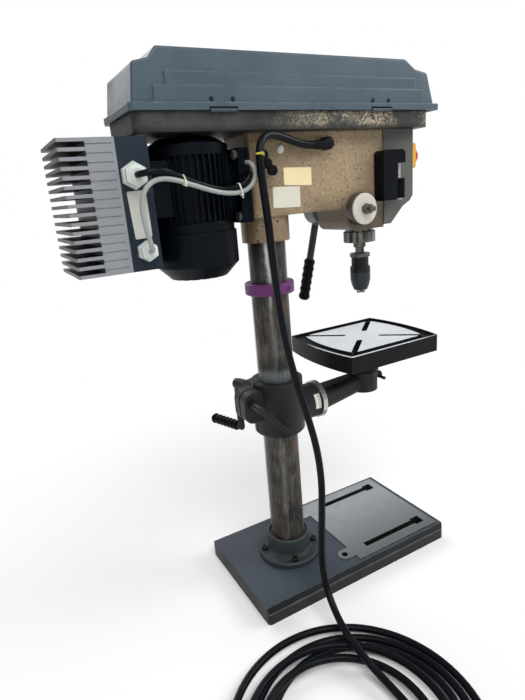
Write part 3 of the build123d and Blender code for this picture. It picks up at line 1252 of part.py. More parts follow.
def belt_drive():
    """Spindle pulley on its sleeve and bearing, motor pulley, and the V belt on one pair of steps."""
    sleeve_low = HEAD_TOP - PULLEY_BEARING_H
    pulley = stepped_pulley(False, PULLEY_SLEEVE_R - 1)
    pulley += cyl(PULLEY_SLEEVE_R, sleeve_low, PULLEY_LOW + PULLEY_STEPS * PULLEY_STEP_H)
    room = 2 * FIT
    tooth = Pos(SPLINE_TIP_R / 2, 0) * Rectangle(SPLINE_TIP_R + 2 * room, SPLINE_W + 2 * room)
    teeth = PolarLocations(0, SPLINES) * tooth
    bore = Sketch() + Circle(SPLINE_R + room) + teeth
    pulley -= Pos(0, 0, sleeve_low - 1) * extrude(bore, SPINDLE_TOP - sleeve_low + 40)
    parts["spindle_pulley"] = Pos(0, SPINDLE_Y, 0) * pulley
    inner = PULLEY_SLEEVE_R + FIT
    outer = PULLEY_BEARING_R
    bearing = [(inner, sleeve_low), (outer, sleeve_low), (outer, HEAD_TOP), (inner, HEAD_TOP)]
    parts["pulley_bearing"] = turned(bearing, 0, SPINDLE_Y)
    parts["motor_pulley"] = Pos(0, MOTOR_Y, 0) * stepped_pulley(True, SHAFT_R + SEAT)

    near = step_radius(BELT_STEP, False) - GROOVE_D + 2 * GAP
    far = step_radius(BELT_STEP, True) - GROOVE_D + 2 * GAP
    span = MOTOR_Y - SPINDLE_Y
    lean = (far - near) / span
    side = acos(lean)
    belt_z = PULLEY_LOW + (BELT_STEP + 0.5) * PULLEY_STEP_H

    def tangent(centre, radius, sign):
        return (sign * radius * sin(side), centre - radius * cos(side))

    near_left, near_right = tangent(SPINDLE_Y, near, -1), tangent(SPINDLE_Y, near, 1)
    far_left, far_right = tangent(MOTOR_Y, far, -1), tangent(MOTOR_Y, far, 1)
    edges = [
        Line(near_right, far_right),
        ThreePointArc(far_right, (0, MOTOR_Y + far), far_left),
        Line(far_left, near_left),
        ThreePointArc(near_left, (0, SPINDLE_Y - near), near_right),
    ]
    path = Pos(0, 0, belt_z) * Wire(edges)
    start = path @ 0
    slope = (GROOVE_TOP - GROOVE_BOTTOM) / GROOVE_D
    low_half = GROOVE_BOTTOM / 2 - GAP + GAP * slope
    high_half = low_half + BELT_H * slope / 2
    section = Plane(origin=start, x_dir=Vector(sin(side), -cos(side), 0), z_dir=path % 0)
    profile = section * outline([(0, -low_half), (BELT_H, -high_half), (BELT_H, high_half), (0, low_half)])
    parts["drive_belt"] = sweep(profile, path=path)


def motor():
    """Finned motor with its foot, hung on a plate with two slide rods."""
    fin = Rectangle(FIN_R - MOTOR_CORE_R + 2, FIN_T)
    ribs = Circle(MOTOR_CORE_R) + PolarLocations((MOTOR_CORE_R + FIN_R) / 2 - 1, FINS) * fin
    body = Pos(0, 0, MOTOR_BODY_LOW) * extrude(ribs, MOTOR_BODY_HIGH - MOTOR_BODY_LOW)
    body += turned(
        [
            (0, MOTOR_BODY_HIGH),
            (FIN_R, MOTOR_BODY_HIGH),
            (FIN_R, MOTOR_TOP - 12),
            (MOTOR_CORE_R * 0.8, MOTOR_TOP),
            (0, MOTOR_TOP),
        ]
    )
    shield_r = FIN_R
    body += turned(
        [
            (0, COWL_TOP),
            (shield_r, COWL_TOP),
            (shield_r, MOTOR_BODY_LOW - 3),
            (shield_r - 3, MOTOR_BODY_LOW),
            (0, MOTOR_BODY_LOW),
        ]
    )
    foot_low = PLATE_LOW + 2 * MOTOR_BOLT_EDGE
    foot_high = PLATE_HIGH - 2 * MOTOR_BOLT_EDGE
    body += slab((-FOOT_W / 2, FOOT_W / 2), (PLATE_BACK - MOTOR_Y, -MOTOR_CORE_R + 14), (foot_low, foot_high))
    foot_y = (PLATE_BACK - MOTOR_Y, PLATE_BACK + FOOT_T - MOTOR_Y)
    body += slab((-PLATE_W / 2, PLATE_W / 2), foot_y, (PLATE_LOW, PLATE_HIGH))
    pad_x = INV_W * 0.32
    pad_z = (INV_LOW + 74, MOTOR_BODY_HIGH - 6)
    body += slab((-pad_x, pad_x), (MOTOR_CORE_R - 10, INV_FRONT - MOTOR_Y), pad_z)
    body -= cyl(MOTOR_BORE_R, COWL_TOP + 10, MOTOR_BODY_HIGH)
    body -= cyl(SHAFT_R + FIT, COWL_TOP - 1, MOTOR_TOP + 1)
    bolt_z = (PLATE_LOW + MOTOR_BOLT_EDGE, PLATE_HIGH - MOTOR_BOLT_EDGE)
    bolts = []
    head = hexagon(2 * SCREW_HEAD_R, 0, SCREW_HEAD_H * 0.7)
    plate = slab((-PLATE_W / 2, PLATE_W / 2), (PLATE_FRONT, PLATE_BACK), (PLATE_LOW, PLATE_HIGH))
    for x in (-MOTOR_BOLT_X, MOTOR_BOLT_X):
        for z in bolt_z:
            hole = rod((x, PLATE_FRONT - 1, z), (x, PLATE_BACK + FOOT_T + 1, z), SCREW_R + SEAT)
            body -= Pos(0, -MOTOR_Y, 0) * hole
            plate -= hole
            seat = Plane(origin=(x, PLATE_BACK + FOOT_T, z), z_dir=(0, 1, 0))
            bolts.append(seat * head + rod((x, PLATE_FRONT + 1, z), (x, PLATE_BACK + FOOT_T, z), SCREW_R))
    for side in (-1, 1):
        plate += rod((side * ROD_X, ROD_END, ROD_Z), (side * ROD_X, PLATE_BACK, ROD_Z), ROD_R)
    parts["motor_housing"] = Pos(0, MOTOR_Y, 0) * body
    parts["motor_plate"] = plate
    parts["motor_bolts"] = Compound(children=bolts)

    cowl = turned(
        [
            (FAN_R * 0.3, COWL_LOW),
            (COWL_R - COWL_CHAMFER, COWL_LOW),
            (COWL_R, COWL_LOW + COWL_CHAMFER),
            (COWL_R, COWL_TOP),
            (COWL_R - COWL_WALL, COWL_TOP),
            (COWL_R - COWL_WALL, COWL_LOW + COWL_CHAMFER + 1),
            (COWL_R - COWL_CHAMFER - 1, COWL_LOW + COWL_WALL),
            (FAN_R * 0.3, COWL_LOW + COWL_WALL),
        ]
    )
    slots = PolarLocations(FAN_R * 0.68, 18) * Rectangle(FAN_R * 0.55, 4)
    cowl -= Pos(0, 0, COWL_LOW - 1) * extrude(Sketch() + slots, COWL_WALL + 2)
    rim_in, rim_out, rim_low = MOTOR_CORE_R - 4, COWL_R - 1, COWL_TOP - 8
    cowl += turned([(rim_in, rim_low), (rim_out, rim_low), (rim_out, COWL_TOP), (rim_in, COWL_TOP)])
    parts["motor_fan_cowl"] = Pos(0, MOTOR_Y, 0) * cowl

    pulley_top = PULLEY_LOW + PULLEY_STEPS * PULLEY_STEP_H
    rotor = cyl(SHAFT_R, COWL_LOW + 18, pulley_top + 3)
    rotor += cyl(ROTOR_R, MOTOR_BODY_LOW + 22, MOTOR_BODY_HIGH - 12)
    fan = cyl(FAN_R * 0.45, COWL_LOW + 24, COWL_LOW + 34) - cyl(SHAFT_R - 1, COWL_LOW, MOTOR_TOP)
    blade = slab((FAN_R * 0.35, FAN_R), (-1, 1), (COWL_LOW + 24, COWL_LOW + 56))
    for k in range(8):
        fan += Rot(0, 0, 45 * k) * blade
    parts["motor_rotor"] = Pos(0, MOTOR_Y, 0) * (rotor + fan)


def wing_screw():
    """Wing screw that locks the motor's slide rods."""
    tip = -ROD_X - ROD_R - 0.1
    screw = rod((tip, WING_Y, ROD_Z), (-HEAD_X - 10, WING_Y, ROD_Z), WING_SCREW_R)
    hub = [(-HEAD_X - x, WING_Y, ROD_Z) for x in (6, 20)]
    screw += rod(*hub, WING_SCREW_R * 2.2, WING_SCREW_R * 1.7)
    lobe = WING_SCREW_R * 2.1
    wing = Rectangle(WING_L - 2 * lobe, lobe)
    for side in (-1, 1):
        wing += Pos(side * (WING_L / 2 - lobe), 0) * Circle(lobe)
    wing = extrude(Plane.YZ * wing, WING_SCREW_R * 0.8, both=True)
    screw += Pos(-HEAD_X - 17, WING_Y, ROD_Z) * (Rot(57, 0, 0) * wing)
    parts["rod_lock_screw"] = screw


def inverter():
    """Drive inverter behind the motor: plastic box, finned heat sink and two cable glands."""
    box = slab((-INV_X, INV_X), (INV_FRONT, INV_BACK), (INV_LOW, INV_HIGH))
    box = fillet(box.edges().filter_by(Axis.Z).group_by(Axis.Y)[0], INV_ROUND)
    parts["inverter_box"] = box
    sink = slab((-INV_X, INV_X), (INV_BACK, SINK_BACK), (INV_LOW, INV_HIGH))
    pitch = (INV_HIGH - INV_LOW - SINK_FIN_T) / (SINK_FINS - 1)
    cuts = None
    for k in range(SINK_FINS - 1):
        low = INV_LOW + k * pitch + SINK_FIN_T
        high = low + pitch - SINK_FIN_T
        middle = (low + high) / 2
        cut = slab((-INV_X - 1, INV_X + 1), (SINK_BACK - SINK_SLOT_D, SINK_BACK + 1), (low, high))
        for side in (-1, 1):
            x = sorted((side * (INV_X - SINK_GROOVE_D), side * (INV_X + 1)))
            groove_z = (middle - SINK_GROOVE_W / 2, middle + SINK_GROOVE_W / 2)
            cut += slab(x, (INV_BACK + SINK_FIN_T, SINK_BACK), groove_z)
        cuts = cut if cuts is None else cuts + cut
    parts["heat_sink"] = sink - cuts
    glands = []
    big = (BIG_GLAND_Y, BIG_GLAND_Z, BIG_GLAND_R)
    small = (SMALL_GLAND_Y, SMALL_GLAND_Z, SMALL_GLAND_R)
    for y, z, radius in (big, small):
        place = Plane(origin=(-INV_X, y, z), z_dir=(-1, 0, 0))
        gland = hexagon(2 * radius, 0, GLAND_L * 0.4) + cyl(radius * 0.86, 0, GLAND_L * 0.55)
        gland += hexagon(2 * radius * 0.86, GLAND_L * 0.5, GLAND_L * 0.85)
        gland += Pos(0, 0, GLAND_L * 0.85) * Cone(radius * 0.8, radius * 0.55, GLAND_L * 0.15, align=STANDING)
        glands.append(place * gland)
    parts["cable_glands"] = Compound(children=glands)


def bend_radii(points):
    """Arc radius at each inner point of a lead: as large as its two runs allow."""
    radii = []
    for before, here, after in zip(points, points[1:], points[2:]):
        run_in = Vector(*here) - Vector(*before)
        run_out = Vector(*after) - Vector(*here)
        half_turn = radians(run_in.get_angle(run_out)) / 2
        radii.append(0.45 * min(run_in.length, run_out.length) / tan(half_turn))
    return radii


def lead(name, points, radius):
    """Round lead along straight runs joined by tangent arcs."""
    radii = bend_radii(points)
    path = FilletPolyline(*points, radius=radii)
    section = Plane(origin=path @ 0, z_dir=path % 0) * Circle(radius)
    tube = sweep(section, path=path)
    share = round(tube.volume / (pi * radius**2 * path.length), 4)
    print(name, "length", round(path.length), "radii", [round(r) for r in radii], "volume share", share)
    parts[name] = tube
    return path


def inverter_leads():
    """Leads tied together along the motor, from the inverter's glands to the edge of the motor plate."""
    gland = Vector(-INV_X - GLAND_L, SMALL_GLAND_Y, SMALL_GLAND_Z)
    plate = Vector(-PLATE_W / 2, (PLATE_FRONT + PLATE_BACK) / 2, PLATE_HIGH)
    unit = GLAND_L / 22
    control = [
        gland,
        gland + unit * Vector(-12, 0, 0),
        gland + unit * Vector(-20, 5, 14),
        gland + unit * Vector(-21, 10, 41),
        gland + unit * Vector(-21, 11, 69),
        gland + unit * Vector(-20, 1, 91),
        gland + unit * Vector(-18, -20, 101),
        gland + unit * Vector(-15, -47, 97),
        gland + unit * Vector(-10, -72, 89),
        plate + unit * Vector(-27, 66, -66),
        plate + unit * Vector(-21, 34, -69),
        plate + unit * Vector(-19, 15, -66),
        plate + unit * Vector(-19.5, 2, -57),
        plate + unit * Vector(-20, -5, -44),
        plate + unit * Vector(-18.5, -3, -31),
        plate + unit * Vector(-10, 0, -23),
        plate + unit * Vector(0, 0, -23),
    ]
    lead("control_lead", [tuple(p) for p in control], CONTROL_LEAD_R)
    gland = Vector(-INV_X - GLAND_L, BIG_GLAND_Y, BIG_GLAND_Z)
    power = [
        gland,
        gland + unit * Vector(-14, 0, 0),
        gland + unit * Vector(-21.5, -14, 2),
        gland + unit * Vector(-19, -36, 2.5),
        gland + unit * Vector(-4, -58, -6),
        gland + unit * Vector(1, -90, -18),
        plate + unit * Vector(-17, 58, -62),
        plate + unit * Vector(-15.5, 34, -61.5),
        plate + unit * Vector(-18, 16, -56),
        plate + unit * Vector(-17, 5, -45),
        plate + unit * Vector(-10, 0, -39),
        plate + unit * Vector(0, 0, -39),
    ]
    lead("power_lead", [tuple(p) for p in power], POWER_LEAD_R)


def coil_spots():
    """Places where the loose coil crosses its own middle line: outwards above, then inwards below."""
    spots = []
    for k in range(COIL_TURNS):
        spots.append((-COIL_NEAR - k * COIL_NEAR_GROWS, COIL_HIGH_Z))
        spots.append((COIL_FAR + k * COIL_FAR_GROWS, COIL_HIGH_Z))
    for k in range(COIL_TURNS):
        last = k == COIL_TURNS - 1
        spots.append((k * COIL_LOW_NEAR_SHRINKS - COIL_LOW_NEAR, COIL_LOW_Z))
        spots.append((COIL_TAIL if last else COIL_LOW_FAR - k * COIL_LOW_FAR_SHRINKS, COIL_LOW_Z))
    return [Vector(COIL_X, COIL_Y + reach, z) for reach, z in spots]


def mains_lead():
    """Mains lead: boot on the head, hanging stretch, loose coil on the floor and plug."""
    knob = rod((-HEAD_X, BOOT_Y, BOOT_Z), (-HEAD_X - 2 * BOOT_R, BOOT_Y, BOOT_Z), BOOT_R)
    knob = fillet(knob.edges().group_by(Axis.X)[0], BOOT_R * 0.7)
    boot_x = -HEAD_X - BOOT_R - 3
    boot_z = BOOT_Z - 2
    boot_end = (boot_x, BOOT_Y + 28, boot_z)
    knob += rod((boot_x, BOOT_Y, boot_z), boot_end, BOOT_R * 0.8, LEAD_R + 0.6)
    parts["cable_boot"] = knob

    spots = coil_spots()
    coil_start = spots[0] + Vector(2 * LEAD_R, 0, 0)
    hang = [
        boot_end,
        (boot_x, BOOT_Y + 46, boot_z),
        (boot_x - 2, BOOT_Y + 70, BOOT_Z + 3.5),
        (boot_x - 8, BOOT_Y + 96, BOOT_Z + 10.5),
        (boot_x - 15.5, BOOT_Y + 122, BOOT_Z + 14.5),
        (boot_x - 23, BOOT_Y + 142, BOOT_Z + 11),
        (boot_x - 30, BOOT_Y + 154, BOOT_Z - 4),
        (boot_x - 33.5, BOOT_Y + 158, BOOT_Z - 28),
        (-97, 52, 800),
        (-99, 48.5, 745),
        (-101, 47, 690),
        (-103.5, 44, 625),
        (-110, 40, 550),
        (-120, 31, 482),
        (-131, 18, 414),
        (-140, 6, 345),
        (-146, 3, 278),
        (-150, 10, 206),
        (-155, 18, 146),
        (-160, 21, 100),
        (-178, 25, 65),
        (-210, 31, 44),
        (-250, 39.5, OVER_COIL_Z),
        (-284, 43.5, OVER_COIL_Z),
        (-310, 42.5, OVER_COIL_Z - 6),
        (-334, coil_start.Y + 2.5, COIL_HIGH_Z + 3.2),
        (-356, coil_start.Y, COIL_HIGH_Z),
        tuple(coil_start),
    ]
    hanging = lead("mains_lead", hang, LEAD_R)

    edges = [Line(coil_start, spots[0])]
    for k, (start, end) in enumerate(zip(spots, spots[1:])):
        side = -1 if k % 2 == 0 else 1
        middle = (start + end) / 2 + Vector(side * (end - start).length / 2, 0, 0)
        edges.append(ThreePointArc(start, middle, end))
    coil_end = spots[-1] + Vector(2 * LEAD_R, 0, 0)
    edges.append(Line(spots[-1], coil_end))
    path = Wire(edges)
    section = Plane(origin=coil_start, z_dir=(-1, 0, 0)) * Circle(LEAD_R)
    parts["mains_coil"] = sweep(section, path=path)
    over = min(hanging.distance_to(edge) for edge in edges[2:]) - 2 * LEAD_R
    print("mains_coil length", round(path.length), "under the lead", round(over, 2))
    print("mains_coil least gap between its turns", round(least_gap(edges), 2))

    neck = Circle(LEAD_R - 0.3)
    shoulder = Pos(0, 0, PLUG_L * 0.4) * RectangleRounded(PLUG_W, PLUG_T, PLUG_T * 0.45)
    plug = loft([neck, shoulder])
    plug += Pos(0, 0, PLUG_L * 0.4) * extrude(RectangleRounded(PLUG_W, PLUG_T, PLUG_T * 0.45), PLUG_L * 0.6)
    for side in (-1, 1):
        plug += cyl(2.4, PLUG_L - 1, PLUG_L + 19, side * 9.5, 0)
    parts["mains_plug"] = Plane(origin=coil_end, x_dir=(0, 1, 0), z_dir=(1, 0, 0)) * plug


def least_gap(edges):
    """Least clear distance between turns of the coil that do not join each other."""
    pairs = [(a, b) for i, a in enumerate(edges) for b in edges[i + 2 :]]
    return min(a.distance_to(b) for a, b in pairs) - 2 * LEAD_R


base_plate()
column_flange()
column()
column_rack()
lifting_gear()
crank()
table_bracket()
clamp_lever()
table_arm()
work_table()
head_casting()
quill_and_spindle()
chuck()
feed()
front_box()
guard_hinge()
belt_tray()
lid()
lid_hinges()
belt_drive()
motor()
wing_screw()
inverter()
inverter_leads()
mains_lead()

os.makedirs("parts", exist_ok=True)
for name, shape in parts.items():
    export_step(shape, f"parts/{name}.step")
print(len(parts), "nodes")
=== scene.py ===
import math

import bmesh
import bpy
from mathutils import Color, Matrix, Vector
from mathutils.geometry import convex_hull_2d


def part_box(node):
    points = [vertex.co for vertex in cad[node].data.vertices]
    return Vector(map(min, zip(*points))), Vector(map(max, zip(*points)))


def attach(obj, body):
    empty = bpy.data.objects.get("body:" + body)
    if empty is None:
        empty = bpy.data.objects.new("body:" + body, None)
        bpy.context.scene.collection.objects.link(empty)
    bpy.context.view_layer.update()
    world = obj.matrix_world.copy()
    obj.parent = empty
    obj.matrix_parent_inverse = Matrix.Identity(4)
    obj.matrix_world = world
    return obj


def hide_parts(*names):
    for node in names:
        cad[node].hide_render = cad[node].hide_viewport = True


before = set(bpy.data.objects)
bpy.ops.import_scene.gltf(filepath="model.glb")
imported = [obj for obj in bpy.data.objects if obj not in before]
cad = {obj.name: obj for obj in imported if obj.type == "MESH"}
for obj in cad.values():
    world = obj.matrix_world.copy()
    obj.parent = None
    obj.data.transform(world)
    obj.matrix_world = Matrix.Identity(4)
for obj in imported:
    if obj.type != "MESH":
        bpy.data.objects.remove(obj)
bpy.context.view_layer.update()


# Studio: a plain pale floor that fades to white, under an even white sky and three soft lamps.
# The camera stands behind the machine's left side, at the height of the motor.

scene = bpy.context.scene
scene.view_settings.view_transform = "Standard"


def plug_in(tree, socket, value):
    """Joins a socket to another one, or sets it to a plain value."""
    if isinstance(value, bpy.types.NodeSocket):
        tree.links.new(value, socket)
    else:
        socket.default_value = value


def set_inputs(tree, made, **inputs):
    """Sets a node's inputs by name."""
    for label, value in inputs.items():
        plug_in(tree, made.inputs[label.replace("_", " ")], value)


def node(tree, kind, **inputs):
    """New node with its inputs set by name."""
    made = tree.nodes.new(kind)
    set_inputs(tree, made, **inputs)
    return made


def calc(tree, operation, *values, kind="ShaderNodeMath", result="Value"):
    """Result of a sum on numbers, or on vectors with another kind of node."""
    made = tree.nodes.new(kind)
    made.operation = operation
    for socket, value in zip(made.inputs, values):
        plug_in(tree, socket, value)
    return made.outputs[result]


def times(tree, first, second):
    """Product of two numbers."""
    return calc(tree, "MULTIPLY", first, second)


def ramp(tree, value, low, high, start=0.0, end=1.0):
    """Number that goes from start to end while the value goes from low to high."""
    made = node(tree, "ShaderNodeMapRange", Value=value, From_Min=low, From_Max=high)
    set_inputs(tree, made, To_Min=start, To_Max=end)
    return made.outputs["Result"]


def between(tree, mask, low, high):
    """Number that goes from low to high with the mask."""
    return ramp(tree, mask, 0.0, 1.0, low, high)


VECTOR_SUM = "ShaderNodeVectorMath"
FLOOR_RADIUS = 40.0
FLOOR_SIDES = 64
FLOOR_WHITE = (0.92, 0.92, 0.92, 1.0)
PURE_WHITE = (1.0, 1.0, 1.0, 1.0)
FADE_FROM = 0.34
FADE_TO = 0.95

floor_mesh = bpy.data.meshes.new("floor")
corners = [math.tau * k / FLOOR_SIDES for k in range(FLOOR_SIDES)]
rim = [(FLOOR_RADIUS * math.cos(a), FLOOR_RADIUS * math.sin(a), 0.0) for a in corners]
floor_mesh.from_pydata(rim, [], [list(range(FLOOR_SIDES))])
floor = bpy.data.objects.new("floor", floor_mesh)
scene.collection.objects.link(floor)

pale_floor = bpy.data.materials.new("pale floor")
pale_floor.use_nodes = True
tree = pale_floor.node_tree
tree.nodes.clear()
spot = node(tree, "ShaderNodeTexCoord").outputs["Object"]
fade = ramp(tree, calc(tree, "LENGTH", spot, kind=VECTOR_SUM), FADE_FROM, FADE_TO)
rays = node(tree, "ShaderNodeLightPath").outputs
seen = calc(tree, "MAXIMUM", rays["Is Camera Ray"], rays["Is Glossy Ray"])
matt = node(tree, "ShaderNodeBsdfDiffuse", Color=FLOOR_WHITE)
glow = node(tree, "ShaderNodeEmission", Color=PURE_WHITE, Strength=1.0)
blend = node(tree, "ShaderNodeMixShader", Fac=times(tree, fade, seen))
for socket, shader in zip(blend.inputs[1:], (matt.outputs["BSDF"], glow.outputs["Emission"])):
    tree.links.new(shader, socket)
node(tree, "ShaderNodeOutputMaterial", Surface=blend.outputs["Shader"])
floor_mesh.materials.append(pale_floor)

SKY_LIGHT = 0.4
sky = bpy.data.worlds.new("even sky")
scene.world = sky
sky.use_nodes = True
tree = sky.node_tree
tree.nodes.clear()
rays = node(tree, "ShaderNodeLightPath").outputs
seen = calc(tree, "MAXIMUM", rays["Is Camera Ray"], rays["Is Transmission Ray"])
glow = node(tree, "ShaderNodeBackground", Color=PURE_WHITE, Strength=between(tree, seen, SKY_LIGHT, 1.0))
node(tree, "ShaderNodeOutputWorld", Surface=glow.outputs["Background"])

MACHINE_MIDDLE = Vector((0.0, 0.0, 0.55))


def soft_lamp(name, place, size, power):
    """Round soft lamp turned towards the middle of the machine."""
    lamp = bpy.data.lights.new(name, "AREA")
    lamp.shape = "DISK"
    lamp.size = size
    lamp.energy = power
    stand = bpy.data.objects.new(name, lamp)
    stand.location = place
    stand.rotation_euler = (MACHINE_MIDDLE - Vector(place)).to_track_quat("-Z", "Y").to_euler()
    scene.collection.objects.link(stand)


soft_lamp("lamp high behind the camera", (-2.2, 0.4, 3.2), size=2.2, power=72)
soft_lamp("lamp over the front", (-1.2, -3.0, 2.6), size=2.0, power=62)
soft_lamp("lamp on the far side", (2.6, 0.2, 2.4), size=2.4, power=36)

PHOTO_HEIGHT = 700
FOCAL_PIXELS = 518.79
CAMERA_PLACE = (-0.8478, 0.4753, 0.7925)
CAMERA_AZIMUTH = math.radians(242.09)
CAMERA_HEIGHT = math.radians(16.8)
CAMERA_ROLL = math.radians(-4.78)

camera = bpy.data.cameras.new("camera")
camera.sensor_fit = "VERTICAL"
camera.sensor_height = 36.0
camera.lens = camera.sensor_height * FOCAL_PIXELS / PHOTO_HEIGHT
viewer = bpy.data.objects.new("camera", camera)
tilted = Matrix.Rotation(math.pi / 2 - CAMERA_HEIGHT, 4, "X") @ Matrix.Rotation(CAMERA_ROLL, 4, "Z")
turned = Matrix.Rotation(CAMERA_AZIMUTH, 4, "Z") @ tilted
viewer.matrix_world = Matrix.Translation(CAMERA_PLACE) @ turned
scene.collection.objects.link(viewer)
scene.camera = viewer


# Base plate: a grey iron casting, slate enamel on its deck and much darker sides. The clamping
# pad and its two lugs are milled bare and have dulled to a plain grey; painted light makes them
# paler towards the far side.

NUMBER, VECTOR = "NodeSocketFloat", "NodeSocketVector"


def shared_effect(name, numbers, results):
    """Empty node group fed by coordinates and numbers; gives the tree, its inputs and its results."""
    tree = bpy.data.node_groups.new(name, "ShaderNodeTree")
    tree.interface.new_socket("Vector", in_out="INPUT", socket_type=VECTOR)
    for label, usual in numbers.items():
        tree.interface.new_socket(label, in_out="INPUT", socket_type=NUMBER).default_value = usual
    for label, kind in results.items():
        tree.interface.new_socket(label, in_out="OUTPUT", socket_type=kind)
    return tree, tree.nodes.new("NodeGroupInput").outputs, tree.nodes.new("NodeGroupOutput").inputs


def use_effect(tree, effect, **inputs):
    """Puts a shared effect into a material with its own values."""
    made = tree.nodes.new("ShaderNodeGroup")
    made.node_tree = effect
    set_inputs(tree, made, **inputs)
    return made.outputs


def noise(tree, spot, scale=1.0, detail=4.0, coarse=0.5):
    """Cloudy noise from 0 to 1."""
    made = node(tree, "ShaderNodeTexNoise", Vector=spot, Scale=scale, Detail=detail, Roughness=coarse)
    return made.outputs["Fac"]


# Rubbed edges: a normal that rounds the edges over, and a broken mask along them for worn edges,
# and on the lid for painted highlights.
BENT_FADE = (0.99, 0.78)
BROKEN_FADE = (0.4, 0.62)
rubbed_and_highlit_edges, given, result = shared_effect(
    "rubbed edges", {"Radius": 0.0015, "Patches": 60.0}, {"Mask": NUMBER, "Normal": VECTOR}
)
tree = rubbed_and_highlit_edges
soft = node(tree, "ShaderNodeBevel", Radius=given["Radius"])
soft.samples = 4
facing = node(tree, "ShaderNodeNewGeometry").outputs["Normal"]
agreement = calc(tree, "DOT_PRODUCT", soft.outputs["Normal"], facing, kind=VECTOR_SUM)
broken = ramp(tree, noise(tree, given["Vector"], given["Patches"]), *BROKEN_FADE)
plug_in(tree, result["Mask"], times(tree, ramp(tree, agreement, *BENT_FADE), broken))
plug_in(tree, result["Normal"], soft.outputs["Normal"])

# Workshop grime: soft blotches of dust and oil.
GRIME_LOW = 0.45
GRIME_HIGH = 0.7
workshop_grime, given, result = shared_effect(
    "workshop grime", {"Size": 9.0, "Low": GRIME_LOW, "High": GRIME_HIGH}, {"Mask": NUMBER}
)
tree = workshop_grime
cloud = noise(tree, given["Vector"], given["Size"], detail=9.0, coarse=0.62)
plug_in(tree, result["Mask"], ramp(tree, cloud, given["Low"], given["High"]))

# Skin of a sand casting or a textured moulding: fine bumps, and a mask of the highest ones.
TOPS_FADE = (0.55, 0.72)
cast_skin, given, result = shared_effect("cast skin", {"Grain": 500.0}, {"Height": NUMBER, "Tops": NUMBER})
tree = cast_skin
bumps = noise(tree, given["Vector"], given["Grain"], detail=3.0, coarse=0.6)
plug_in(tree, result["Height"], bumps)
plug_in(tree, result["Tops"], ramp(tree, bumps, *TOPS_FADE))


def blotches(tree, spot, size, low=GRIME_LOW, high=GRIME_HIGH):
    """Mask of the workshop grime; a larger size number makes smaller blotches."""
    return use_effect(tree, workshop_grime, Vector=spot, Size=size, Low=low, High=high)["Mask"]


def begin_finish(name):
    """New material: gives it with its tree, its shader and the object's own coordinates."""
    finish = bpy.data.materials.new(name)
    finish.use_nodes = True
    tree = finish.node_tree
    return finish, tree, tree.nodes["Principled BSDF"], node(tree, "ShaderNodeTexCoord").outputs["Object"]


def parts_of(tree, vector):
    """The X, Y and Z of a vector."""
    return node(tree, "ShaderNodeSeparateXYZ", Vector=vector).outputs


def light_of(screen_colour):
    """Colour as it is read off a screen, 0 to 255, turned into light."""
    return (*Color([value / 255 for value in screen_colour]).from_srgb_to_scene_linear(), 1.0)


# Sockets of a mix of colours, by number because they share their names with others.
UNDER_SOCKET, OVER_SOCKET, MIXED_SOCKET = 6, 7, 2


def mix(tree, mask, under, over):
    """Colour that goes from one to the other with the mask; plain ones are screen colours."""
    made = tree.nodes.new("ShaderNodeMix")
    made.data_type = "RGBA"
    plug_in(tree, made.inputs["Factor"], mask)
    for socket, value in ((UNDER_SOCKET, under), (OVER_SOCKET, over)):
        plug_in(tree, made.inputs[socket], light_of(value) if isinstance(value, tuple) else value)
    return made.outputs[MIXED_SOCKET]


def layered(tree, shade, *layers):
    """Colour with others laid over it, each given as (mask, share of its strength, colour)."""
    for mask, share, over in layers:
        shade = mix(tree, times(tree, mask, share), shade, over)
    return shade


def roughen(tree, shader, height, depth, under):
    """Fine relief over an already rounded normal."""
    bump = node(tree, "ShaderNodeBump", Height=height, Normal=under, Distance=depth)
    tree.links.new(bump.outputs["Normal"], shader.inputs["Normal"])


def skin_and_edges(tree, shader, spot, grain, depth, radius, patches=60.0):
    """Gives a finish a fine skin over rounded edges; gives masks of the skin's tops and of the edges."""
    skin = use_effect(tree, cast_skin, Vector=spot, Grain=grain)
    edges = use_effect(tree, rubbed_and_highlit_edges, Vector=spot, Radius=radius, Patches=patches)
    roughen(tree, shader, skin["Height"], depth, edges["Normal"])
    return skin["Tops"], edges["Mask"]


def dress(finish, *names):
    """Gives CAD nodes a finish."""
    for name in names:
        cad[name].data.materials.clear()
        cad[name].data.materials.append(finish)


DECK_FADE = (0.5, 0.8)
PAD_SKIM = 0.0006
PAD_NEAR_SIDE = -0.105
PAD_FAR_SIDE = 0.06
pad_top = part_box("base_plate")[1].z
slate_enamel, tree, shader, spot = begin_finish("slate enamel")
place = parts_of(tree, spot)
upward = parts_of(tree, node(tree, "ShaderNodeNewGeometry").outputs["Normal"])["Z"]
deck = ramp(tree, upward, *DECK_FADE)
pad = times(tree, deck, calc(tree, "GREATER_THAN", place["Z"], pad_top - PAD_SKIM))
# Painted light: the milled pad goes from darker on the near side to paler on the far side.
paler = ramp(tree, place["X"], PAD_NEAR_SIDE, PAD_FAR_SIDE)
tops, edges = skin_and_edges(tree, shader, spot, grain=420.0, depth=0.0006, radius=0.0022)
dust = blotches(tree, spot, size=9.0, low=0.4, high=0.75)
smears = blotches(tree, spot, size=40.0, low=0.42)
shade = mix(tree, deck, (21, 20, 19), (58, 66, 76))
shade = layered(tree, shade, (dust, between(tree, deck, 0.15, 0.5), (76, 83, 89)))
milled = mix(tree, paler, (93, 98, 100), (150, 155, 158))
shade = mix(tree, pad, shade, layered(tree, milled, (smears, 0.3, (112, 116, 117))))
shade = layered(tree, shade, (tops, 0.15, (112, 114, 114)), (edges, 0.7, (124, 124, 120)))
set_inputs(
    tree, shader, Base_Color=shade, Specular_IOR_Level=0.25, Roughness=between(tree, dust, 0.42, 0.62)
)
dress(slate_enamel, "base_plate")


# Column flange: a turned iron flange in dark grey-green enamel that holds the foot of the column.
# Four blackened socket screws hold it to the base.

